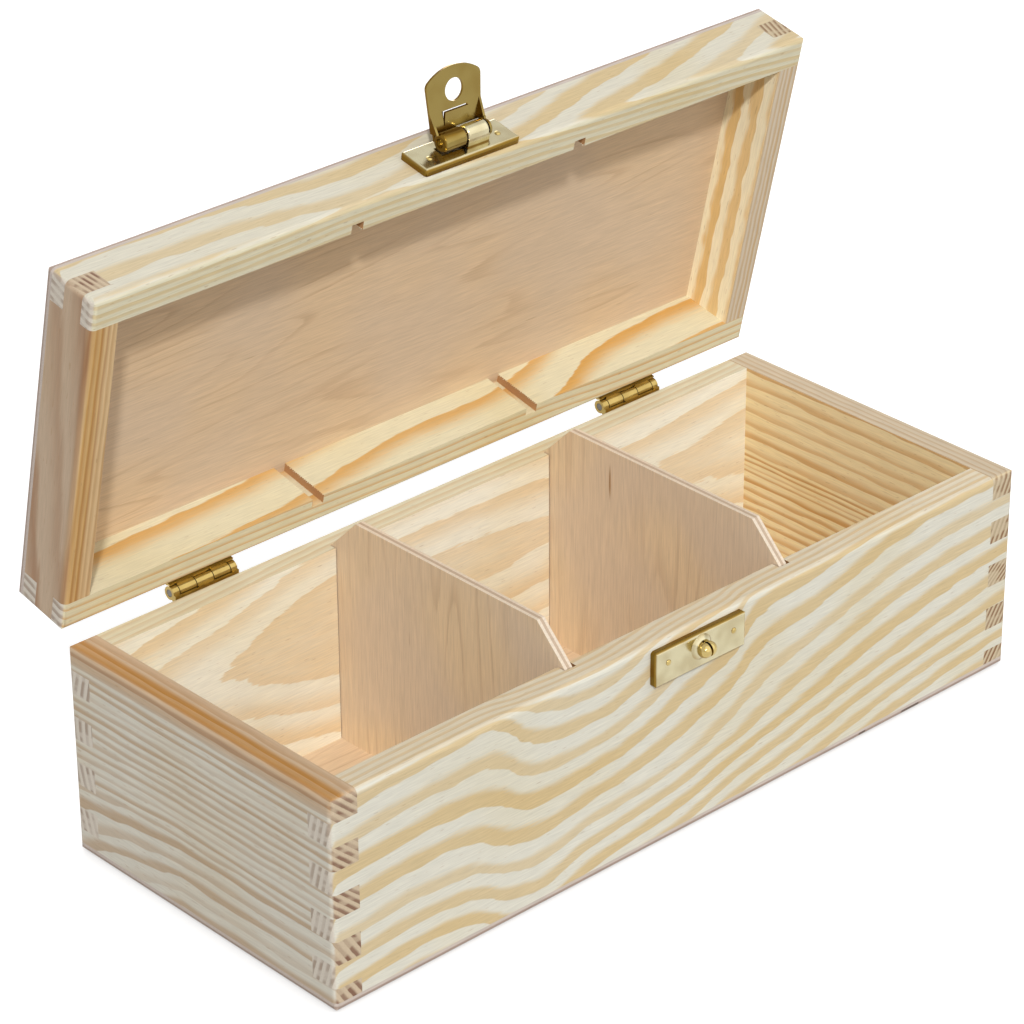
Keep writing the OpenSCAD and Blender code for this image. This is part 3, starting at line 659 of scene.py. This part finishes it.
# Sizes of the marks along and across the face's grain, and through the sheet
PLY_FIBRE = (9.0, 0.4, 1.0)
PLY_WAVE = (180.0, 18.0, 1.0)
PLY_FLECK = (11.0, 0.8, 1.0)
PLY_PORE = (2 / 11, 2 / 11, 2 / 11)
PLY_LINES = 8
PLY_FIBRE_SHADE = 0.4
PLY_PORE_SHADE = 0.35


def plywood(name, across, grain, near, thickness, colours, on_lid=False, gaps=(), streaks=()):
    """Birch plywood, sanded: a pinkish face, and light and dark plies along its edges.

    across is the axis through the sheet, grain the axis of the face's fibres, and near
    the place of one face along across. gaps are the middle and half length of gaps in the
    core along the grain, painted dark as the shade inside voids that are not cut as holes,
    and streaks the middle and half size, along and across the grain, of small brown knots.
    Its fibres are drawn as wide as they need to show.
    """
    material, tree = new_finish(name)
    place, facing = in_shut_box(tree, on_lid)
    axes = dict(zip("XYZ", add(tree, "ShaderNodeSeparateXYZ", {0: place}).outputs))
    normal = dict(zip("XYZ", add(tree, "ShaderNodeSeparateXYZ", {0: facing}).outputs))
    side = [a for a in "XYZ" if a not in (across, grain)][0]
    fibre = add(tree, "ShaderNodeCombineXYZ", {0: axes[grain], 1: axes[side], 2: axes[across]})

    # Fine fibres, the faint waves of a rotary-cut face, and brown flecks
    fine = marks(tree, fibre, PLY_FIBRE, 2.0)
    wave = marks(tree, fibre, PLY_WAVE, Distortion=0.3)
    part = formula(tree, f"fract({PLY_LINES} * w + 0.1 * f)", w=wave, f=fine)
    lines = formula(tree, "smooth(part, 0.7, 0.94) * (1 - smooth(part, 0.94, 1))", part=part)
    flecks = formula(tree, "smooth(f, 0.77, 0.84)", f=marks(tree, fibre, PLY_FLECK, 1.0))
    cloud = marks(tree, place, CLOUD, 1.0)

    face = add(tree, "ShaderNodeMixRGB", {"Fac": formula(tree, "smooth(c, 0.35, 0.65)", c=cloud),
               "Color1": linear(colours["face"]), "Color2": linear(colours["warm"])})
    dark = formula(tree, "min(1, 0.25 * lines * smooth(cloud, 0.35, 0.65) + 0.35 * flecks)",
                   lines=lines, cloud=cloud, flecks=flecks)
    face = add(tree, "ShaderNodeMixRGB", {"Fac": dark, "Color1": face,
               "Color2": linear(colours["fleck"])})
    for a, b, half_l, half_w in streaks:
        far = formula(tree, f"sqrt(((a - {a}) / {half_l}) ** 2 + ((b - {b}) / {half_w}) ** 2)",
                      a=axes[grain], b=axes[side])
        knot = formula(tree, "1 - smooth(far + 0.5 * (f - 0.5), 0.2, 1)", far=far, f=fine)
        face = add(tree, "ShaderNodeMixRGB", {"Fac": knot, "Color1": face,
                   "Color2": linear(colours["knot"])})

    # Along the edges, a dark core between two pale faces
    ply = formula(tree, f"abs((a - {near}) / {thickness} - 0.5)", a=axes[across])
    core = formula(tree, "1 - smooth(p, 0.13, 0.19)", p=ply)
    pores = marks(tree, place, PLY_PORE, 2.0)
    edge = add(tree, "ShaderNodeMixRGB", {"Fac": core, "Color1": linear(colours["edge"]),
               "Color2": linear(colours["core"])})
    # Gaps in the core are painted dark: painted shade inside voids that are not cut as holes
    for middle, half in gaps:
        gap = formula(tree, f"core * (1 - smooth(abs(a - {middle}) / {half}, 0.8, 1))", core=core,
                      a=axes[grain])
        edge = add(tree, "ShaderNodeMixRGB", {"Fac": gap, "Color1": edge,
                   "Color2": linear(colours["gap"])})
    bare = formula(tree, "smooth(abs(n), 0.5, 0.85)", n=normal[across])
    wood = add(tree, "ShaderNodeMixRGB", {"Fac": bare, "Color1": edge, "Color2": face})
    shade = formula(tree, f"1 + {PLY_FIBRE_SHADE} * (fine - 0.5)"
                    f" + (1 - bare) * {PLY_PORE_SHADE} * (pores - 0.5)",
                    fine=fine, bare=bare, pores=pores)
    wood = add(tree, "ShaderNodeMixRGB", {"Fac": 1.0, "Color1": wood, "Color2": shade},
               blend_type="MULTIPLY")
    gloss = formula(tree, "0.62 + 0.12 * (fine - 0.5)", fine=fine)
    bump = add(tree, "ShaderNodeBump", {"Strength": 0.3, "Distance": 0.05 * MM, "Height": fine})
    shader = add(tree, "ShaderNodeBsdfPrincipled", {"Base Color": wood, "Roughness": gloss,
                 "Normal": bump, "Specular IOR Level": WOOD_SHINE})
    add(tree, "ShaderNodeOutputMaterial", {"Surface": shader})
    return material


def fit_panel(node, material):
    """Puts a plywood piece in place of its CAD node, its free edges sanded."""
    turned = shut if body_of(node) == "lid" else None
    panel = eased_copy(node, node + "_sheet", PLY_EDGE, material, lambda p: glue_line(p, turned))
    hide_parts(node)
    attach(panel, body_of(node))


# Two core gaps on the floor's edge, painted dark as the shade inside them
CORE_GAPS = ((76.8, 1.7), (99.5, 4.6))
floor_colours = {"face": "#dcc6ab", "warm": "#e0c6a6", "fleck": "#a57b54", "edge": "#cbbdb2",
                 "core": "#b09a8c", "gap": "#6b5b50"}
lid_panel_colours = {"face": "#d7bfa2", "warm": "#ddc19d", "fleck": "#9c7149", "edge": "#cbbdb2",
                     "core": "#b09a8c"}
floor_ply = plywood("birch plywood floor", "Z", "X", 0.0, PANEL_T, floor_colours, gaps=CORE_GAPS)
lid_ply = plywood("birch plywood lid", "Z", "X", LID_TOP_Z - PANEL_T, PANEL_T, lid_panel_colours,
                  on_lid=True)
fit_panel("floor_panel", floor_ply)
fit_panel("lid_top_panel", lid_ply)


# ---- Dividers ----
# Two loose sheets of the same plywood with their grain upright and both upper corners
# cut off. They drop into the grooves and lift out by hand.

KNOT_STREAK = (72.5, 22.0, 8.0, 0.65)
divider_colours = {"face": "#dec8ae", "warm": "#e6cdaa", "fleck": "#a57b54", "edge": "#e4d4bf",
                   "core": "#c4ac93", "knot": "#a67d52"}
for name, streaks in (("left_divider", ()), ("right_divider", (KNOT_STREAK,))):
    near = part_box(name)[0].x / MM
    divider_ply = plywood("birch plywood " + name, "X", "Z", near, DIVIDER_T, divider_colours,
                          streaks=streaks)
    fit_panel(name, divider_ply)


# ---- Hinges ----
# Two small butt hinges rolled from brass-plated steel sheet, five knuckles on a steel pin,
# nailed flat on the outside of the back wall and the lid's back rail.

ROLLED_EDGE = 0.2

# Sizes of patches of deeper plate, of rubbing along the piece, too fine to see line by line,
# and of dents in the sheet
DEEPER = (20 / 3, 20 / 3, 20 / 3)
RUB = (1 / 3, 1 / 30, 1 / 30)
DENT = (6.25, 6.25, 6.25)
DARK_REFLECTION_BLEND = 0.6


def brass(name, colour, bent, roughness, ripple, on_lid=False, sheet=None, swing=0.0,
          dark_reflection_to=None):
    """Brass plate on rolled or stamped steel, bright from the bath.

    It mirrors softly, and its sheet is never quite flat, so reflections bend. Where a flat
    sheet, facing along the vector sheet, was bent over, the faces that turn away are
    painted a deeper gold: a painted dark reflection of the darker things they would mirror,
    as far out from the box's middle as the last argument gives.
    """
    material, tree = new_finish(name)
    coordinates = add(tree, "ShaderNodeTexCoord")
    place = add(tree, "ShaderNodeMapping", {"Vector": coordinates.outputs["Object"],
                "Scale": (1 / MM, 1 / MM, 1 / MM)})
    cloud = marks(tree, place, DEEPER, 1.0)
    deeper = formula(tree, "0.3 * smooth(c, 0.35, 0.75)", c=cloud)
    if sheet:
        box_place, facing = in_shut_box(tree, on_lid, swing)
        across = add(tree, "ShaderNodeVectorMath", {0: facing, 1: sheet}, operation="DOT_PRODUCT")
        # Faces turned away from the flat sheet are painted a deeper gold: a painted dark reflection
        worn = formula(tree, "1 - smooth(abs(a), 0.6, 0.97)", a=across.outputs["Value"])
        if dark_reflection_to:
            out = add(tree, "ShaderNodeSeparateXYZ", {0: box_place}).outputs[1]
            worn = formula(tree, f"worn * (1 - smooth(-y, {dark_reflection_to}, {dark_reflection_to + DARK_REFLECTION_BLEND}))",
                           worn=worn, y=out)
        deeper = formula(tree, "min(1, deeper + worn)", deeper=deeper, worn=worn)
    tone = add(tree, "ShaderNodeMixRGB", {"Fac": deeper, "Color1": linear(colour),
               "Color2": linear(bent)})
    rubbed = marks(tree, place, RUB, 2.0)
    gloss = formula(tree, f"{roughness} + 0.08 * (r - 0.5) + 0.06 * (c - 0.5)", r=rubbed, c=cloud)
    height = formula(tree, "d + 0.01 * r", d=marks(tree, place, DENT), r=rubbed)
    bump = add(tree, "ShaderNodeBump", {"Strength": 1.0, "Distance": ripple * MM, "Height": height})
    shader = add(tree, "ShaderNodeBsdfPrincipled", {"Base Color": tone, "Roughness": gloss,
                 "Metallic": 1.0, "Normal": bump})
    add(tree, "ShaderNodeOutputMaterial", {"Surface": shader})
    return material


def fit_metal(node, edge, material, segments=2):
    """Puts a metal piece in place of its CAD node, its sheared edges dulled."""
    piece = eased_copy(node, node + "_finished", edge, material, segments=segments)
    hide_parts(node)
    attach(piece, body_of(node))


hinge_brass = brass("brass plate rolled", "#b39a5c", "#7c6530", 0.2, 0.3)
for node in ("left_hinge_box_leaf", "left_hinge_lid_leaf", "right_hinge_box_leaf",
             "right_hinge_lid_leaf"):
    fit_metal(node, ROLLED_EDGE, hinge_brass)


# Lines left by the drawing die, along and across the wire, too fine to see one by one
DRAWN = (1.0, 0.05, 0.05)


def drawn_steel(name):
    """Drawn steel wire with cut ends: grey, softly bright, with fine lines along it."""
    material, tree = new_finish(name)
    coordinates = add(tree, "ShaderNodeTexCoord")
    place = add(tree, "ShaderNodeMapping", {"Vector": coordinates.outputs["Object"],
                "Scale": (1 / MM, 1 / MM, 1 / MM)})
    lines = marks(tree, place, DRAWN, 3.0)
    tone = add(tree, "ShaderNodeMixRGB", {"Fac": lines, "Color1": linear("#5e5a53"),
               "Color2": linear("#86817a")})
    gloss = formula(tree, "0.3 + 0.2 * (n - 0.5)", n=lines)
    bump = add(tree, "ShaderNodeBump", {"Strength": 0.4, "Distance": 0.03 * MM, "Height": lines})
    shader = add(tree, "ShaderNodeBsdfPrincipled", {"Base Color": tone, "Roughness": gloss,
                 "Metallic": 1.0, "Normal": bump})
    add(tree, "ShaderNodeOutputMaterial", {"Surface": shader})
    return material


steel = drawn_steel("steel drawn wire")
for node in ("left_hinge_pin", "right_hinge_pin"):
    fit_metal(node, ROLLED_EDGE, steel)


# ---- Strike plate and catch ----
# A shallow tray stamped from brass-plated sheet with a raised skirt in its middle, and a
# split ball turned from brass, riveted through it, on which the tongue snaps shut.

STAMPED_EDGE = 0.22
TURNED_EDGE = 0.15
SHEET_FACING = (0.0, -1.0, 0.0)
DARK_REFLECTION_TO = 62.6

# The bent gold on the skirt's turned-away faces is a painted dark reflection, not wear
strike_brass = brass("brass plate stamped", "#c8bf9d", "#86692a", 0.2, 0.1, sheet=SHEET_FACING,
                     dark_reflection_to=DARK_REFLECTION_TO)
turned_brass = brass("brass turned", "#c4ae70", "#86693a", 0.08, 0.4)
fit_metal("strike_plate", STAMPED_EDGE, strike_brass, segments=3)
fit_metal("catch_button", TURNED_EDGE, turned_brass, segments=3)


# ---- Hasp ----
# The plate is stamped like the strike plate, with an arch pressed out of it round the pin.
# The tongue's left root curls round the same pin; its window is sheared on three sides.

TONGUE_OPEN = math.radians(107)

# The bent gold on the skirt's turned-away faces is a painted dark reflection, not wear
plate_brass = brass("brass plate stamped, lid", "#c8bf9d", "#86692a", 0.2, 0.1, on_lid=True,
                    sheet=SHEET_FACING, dark_reflection_to=DARK_REFLECTION_TO)
# The tongue's darker gold, and the deeper gold on its bent faces, are a painted dark reflection of the
# darker surroundings it mirrors
tongue_brass = brass("brass plate bent", "#8f7c46", "#765a20", 0.18, 0.3, on_lid=True,
                     sheet=SHEET_FACING, swing=TONGUE_OPEN)
fit_metal("hasp_plate", STAMPED_EDGE, plate_brass, segments=3)
fit_metal("hasp_tongue", STAMPED_EDGE, tongue_brass, segments=3)
fit_metal("hasp_pin", TURNED_EDGE, turned_brass)


# ---- Nails ----
# Brass-plated escutcheon pins with domed heads: two in each latch plate and two in each
# hinge leaf, driven home by hand, so no two stand quite alike.

NAIL_D = 1.2
NAIL_HEAD_D = 2.0
NAIL_HEAD_H = 0.5
NAIL_L = 7.0
NAIL_TIP = 1.6
NAIL_LEAN = 0.03
SHANK_SIDES = 20
DOME_SIDES = 28
DOME_RINGS = 14
DOME_ANGLE = math.radians(50)


def nail_tree():
    """Stands a nail on each point, its head towards Facing."""
    tree = bpy.data.node_groups.new("nails", "GeometryNodeTree")
    face = tree.interface
    face.new_socket("Places", in_out="INPUT", socket_type="NodeSocketGeometry")
    for name in ("Shank", "Length", "Tip", "Head", "Dome", "Lean"):
        face.new_socket(name, in_out="INPUT", socket_type="NodeSocketFloat")
    face.new_socket("Facing", in_out="INPUT", socket_type="NodeSocketVector")
    face.new_socket("Seed", in_out="INPUT", socket_type="NodeSocketInt")
    face.new_socket("Metal", in_out="INPUT", socket_type="NodeSocketMaterial")
    face.new_socket("Nails", in_out="OUTPUT", socket_type="NodeSocketGeometry")
    given = add(tree, "NodeGroupInput").outputs
    shank_r = add(tree, "ShaderNodeMath", {0: given["Shank"], 1: 0.5}, operation="MULTIPLY")
    head_r = add(tree, "ShaderNodeMath", {0: given["Head"], 1: 0.5}, operation="MULTIPLY")
    straight = add(tree, "ShaderNodeMath", {0: given["Length"], 1: given["Tip"]},
                   operation="SUBTRACT")
    shank = add(tree, "GeometryNodeMeshCylinder", {"Vertices": SHANK_SIDES, "Radius": shank_r,
                "Depth": straight})
    shank_mid = add(tree, "ShaderNodeMath", {0: straight, 1: -0.5}, operation="MULTIPLY")
    shank_at = add(tree, "ShaderNodeCombineXYZ", {2: shank_mid})
    shank = add(tree, "GeometryNodeTransform", {"Geometry": shank, "Translation": shank_at})
    tip = add(tree, "GeometryNodeMeshCone", {"Vertices": SHANK_SIDES, "Radius Top": shank_r,
              "Radius Bottom": 0.0, "Depth": given["Tip"]})
    tip_low = add(tree, "ShaderNodeMath", {0: given["Length"], 1: -1.0}, operation="MULTIPLY")
    tip_at = add(tree, "ShaderNodeCombineXYZ", {2: tip_low})
    tip = add(tree, "GeometryNodeTransform", {"Geometry": tip, "Translation": tip_at})
    ball = add(tree, "GeometryNodeMeshUVSphere", {"Segments": DOME_SIDES, "Rings": DOME_RINGS,
               "Radius": head_r})
    flatten = add(tree, "ShaderNodeMath", {0: given["Dome"], 1: head_r}, operation="DIVIDE")
    head_size = add(tree, "ShaderNodeCombineXYZ", {0: 1.0, 1: 1.0, 2: flatten})
    head = add(tree, "GeometryNodeTransform", {"Geometry": ball, "Scale": head_size})
    spot = add(tree, "GeometryNodeInputPosition")
    seated = add(tree, "ShaderNodeVectorMath", {0: spot, 1: (-1.0, -1.0, 0.0)}, operation="MAXIMUM")
    head = add(tree, "GeometryNodeSetPosition", {"Geometry": head, "Position": seated})
    nail = add(tree, "GeometryNodeJoinGeometry")
    for part in (shank, tip, head):
        tree.links.new(part.outputs[0], nail.inputs[0])
    spread = add(tree, "FunctionNodeRandomValue", {"Min": (-1.0, -1.0, -1.0),
                 "Max": (1.0, 1.0, 1.0), "Seed": given["Seed"]}, data_type="FLOAT_VECTOR")
    lean = add(tree, "ShaderNodeVectorMath", {0: spread.outputs[0]}, operation="SCALE")
    tree.links.new(given["Lean"], lean.inputs["Scale"])
    aim = add(tree, "ShaderNodeVectorMath", {0: given["Facing"], 1: lean}, operation="ADD")
    turn = add(tree, "FunctionNodeAlignRotationToVector", {"Vector": aim}, axis="Z")
    driven = add(tree, "GeometryNodeInstanceOnPoints", {"Points": given["Places"],
                 "Instance": nail, "Rotation": turn})
    solid = add(tree, "GeometryNodeRealizeInstances", {"Geometry": driven})
    smooth = add(tree, "GeometryNodeSetShadeSmooth", {"Geometry": solid})
    done = add(tree, "GeometryNodeSetMaterial", {"Geometry": smooth, "Material": given["Metal"]})
    add(tree, "NodeGroupOutput", {"Nails": done})
    return tree


def drive_nails(node, places, facing, material, seed):
    """Nails at places in the shut box, in millimetres, instead of a CAD group."""
    placed = opened if body_of(node) == "lid" else Matrix.Identity(4)
    aim = (placed.to_3x3() @ Vector(facing)).normalized()
    mesh = bpy.data.meshes.new(node + "_driven")
    mesh.from_pydata([placed @ Vector(p) * MM for p in places], [], [])
    piece = bpy.data.objects.new(node + "_driven", mesh)
    bpy.context.scene.collection.objects.link(piece)
    run_tree(piece, nails, Shank=NAIL_D * MM, Length=NAIL_L * MM, Tip=NAIL_TIP * MM,
             Head=NAIL_HEAD_D * MM, Dome=NAIL_HEAD_H * MM, Lean=NAIL_LEAN, Facing=aim, Seed=seed,
             Metal=material)
    piece.data.set_sharp_from_angle(angle=DOME_ANGLE)
    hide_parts(node)
    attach(piece, body_of(node))


HINGE_INSET = 54.0
HINGE_W = 25.0
LEAF_L = 12.5
LEAF_T = 1.0
KNUCKLE_D = 4.5
LEAF_NAIL_SHIFT = 0.8
LATCH_NAIL_X = 13.9
PLATE_RISE = 2.4
CATCH_Z = 65.1
HASP_NAIL_Z = 78.1

leaf_nail_x = HINGE_W / 4
leaf_nail_drop = (LEAF_L + KNUCKLE_D / 2) / 2 + LEAF_NAIL_SHIFT
leaf_face_y = BOX_D / 2 + LEAF_T
plate_face_y = -BOX_D / 2 - PLATE_RISE
hinge_xs = [h * (BOX_L / 2 - HINGE_INSET) + s * leaf_nail_x for h in (-1, 1) for s in (-1, 1)]
latch_xs = [-LATCH_NAIL_X, LATCH_NAIL_X]

nails = nail_tree()
drive_nails("strike_nails", [(x, plate_face_y, CATCH_Z) for x in latch_xs], (0, -1, 0),
            turned_brass, 2)
drive_nails("hasp_nails", [(x, plate_face_y, HASP_NAIL_Z) for x in latch_xs], (0, -1, 0),
            turned_brass, 4)
drive_nails("hinge_box_nails", [(x, leaf_face_y, HINGE_Z - leaf_nail_drop) for x in hinge_xs],
            (0, 1, 0), hinge_brass, 6)
drive_nails("hinge_lid_nails", [(x, leaf_face_y, HINGE_Z + leaf_nail_drop) for x in hinge_xs],
            (0, 1, 0), hinge_brass, 8)


# ---- Studio ----
# White paper under the box in an even white surround, with a key lamp beside the camera, a
# wide fill lamp to its right, and a wide lamp behind the box that its front doesn't feel.

CAMERA_PLACE = Vector((-767.63, -807.62, 687.84))
CAMERA_YAW = math.radians(-42.81)
CAMERA_PITCH = math.radians(61.65)
CAMERA_ROLL = math.radians(-0.326)
CAMERA_LENS = 144.58
CAMERA_SENSOR = 36.0
CAMERA_NEAR = 0.05
CAMERA_FAR = 20.0

camera = bpy.data.objects.new("camera", bpy.data.cameras.new("camera"))
camera.data.lens = CAMERA_LENS
camera.data.sensor_width = CAMERA_SENSOR
camera.data.sensor_fit = "HORIZONTAL"
camera.data.clip_start = CAMERA_NEAR
camera.data.clip_end = CAMERA_FAR
aimed = (Matrix.Rotation(CAMERA_YAW, 4, "Z") @ Matrix.Rotation(CAMERA_PITCH, 4, "X")
         @ Matrix.Rotation(CAMERA_ROLL, 4, "Z"))
camera.matrix_world = Matrix.Translation(CAMERA_PLACE * MM) @ aimed
bpy.context.scene.collection.objects.link(camera)
bpy.context.scene.camera = camera

KEY_TOWARDS = Vector((-0.506, -0.600, 0.621))
KEY_STRENGTH = 1.885
KEY_WIDTH = math.radians(4)
FILL_TOWARDS = Vector((0.15, -0.75, 0.64))
FILL_STRENGTH = 1.07
FILL_WIDTH = math.radians(90)
BACK_TOWARDS = Vector((0.45, 0.88, 0.12))
BACK_STRENGTH = 1.6
BACK_WIDTH = math.radians(40)
SURROUND = 0.27
PAPER_WHITE = 0.45
FLOOR_LIFT = 0.8
CONTACT_REACH = 9.0
CONTACT_DEPTH = 0.55
FLOOR_GAP = 0.1
FLOOR_HALF = 3000.0

for name, towards, strength, width in (("key_lamp", KEY_TOWARDS, KEY_STRENGTH, KEY_WIDTH),
                                       ("fill_lamp", FILL_TOWARDS, FILL_STRENGTH, FILL_WIDTH),
                                       ("back_lamp", BACK_TOWARDS, BACK_STRENGTH, BACK_WIDTH)):
    lamp = bpy.data.objects.new(name, bpy.data.lights.new(name, "SUN"))
    lamp.data.energy = strength
    lamp.data.angle = width
    lamp.rotation_euler = towards.to_track_quat("Z", "Y").to_euler()
    bpy.context.scene.collection.objects.link(lamp)


def seen_directly(tree):
    """1 where the camera looks, straight, by a mirror or through glass, and 0 elsewhere."""
    rays = add(tree, "ShaderNodeLightPath").outputs
    return formula(tree, "max(max(camera, glossy), through)", camera=rays["Is Camera Ray"],
                   glossy=rays["Is Glossy Ray"], through=rays["Is Transmission Ray"])


world = bpy.data.worlds.new("white surround")
bpy.context.scene.world = world
world.use_nodes = True
sky = world.node_tree
sky.nodes.clear()
level = formula(sky, f"{SURROUND} + {1 - SURROUND} * seen", seen=seen_directly(sky))
backdrop = add(sky, "ShaderNodeBackground", {"Color": (1.0, 1.0, 1.0, 1.0), "Strength": level})
add(sky, "ShaderNodeOutputWorld", {"Surface": backdrop})

floor_mesh = bpy.data.meshes.new("floor")
corners = [Vector((x, y, -FLOOR_GAP)) * MM for x, y in
           ((-FLOOR_HALF, -FLOOR_HALF), (FLOOR_HALF, -FLOOR_HALF),
            (FLOOR_HALF, FLOOR_HALF), (-FLOOR_HALF, FLOOR_HALF))]
floor_mesh.from_pydata(corners, [], [(0, 1, 2, 3)])
floor = bpy.data.objects.new("floor", floor_mesh)
bpy.context.scene.collection.objects.link(floor)

# Paper, dull and plain, that the camera sees nearly white but for the box's shadow
paper, sheet = new_finish("white paper")
# Near the box the glow fades with ambient occlusion: a painted contact shadow along the box's foot, on
# top of the paper's own shadow
near_box = add(sheet, "ShaderNodeAmbientOcclusion", {"Distance": CONTACT_REACH * MM})
lift = formula(sheet, f"{FLOOR_LIFT} * seen * (1 - {CONTACT_DEPTH} * (1 - open))",
               seen=seen_directly(sheet), open=near_box.outputs["AO"])
dull = add(sheet, "ShaderNodeBsdfDiffuse", {"Color": (PAPER_WHITE, PAPER_WHITE, PAPER_WHITE, 1.0)})
glow = add(sheet, "ShaderNodeEmission", {"Strength": lift})
both = add(sheet, "ShaderNodeAddShader", {0: dull, 1: glow})
add(sheet, "ShaderNodeOutputMaterial", {"Surface": both})
floor_mesh.materials.append(paper)

bpy.context.scene.view_settings.view_transform = "Standard"
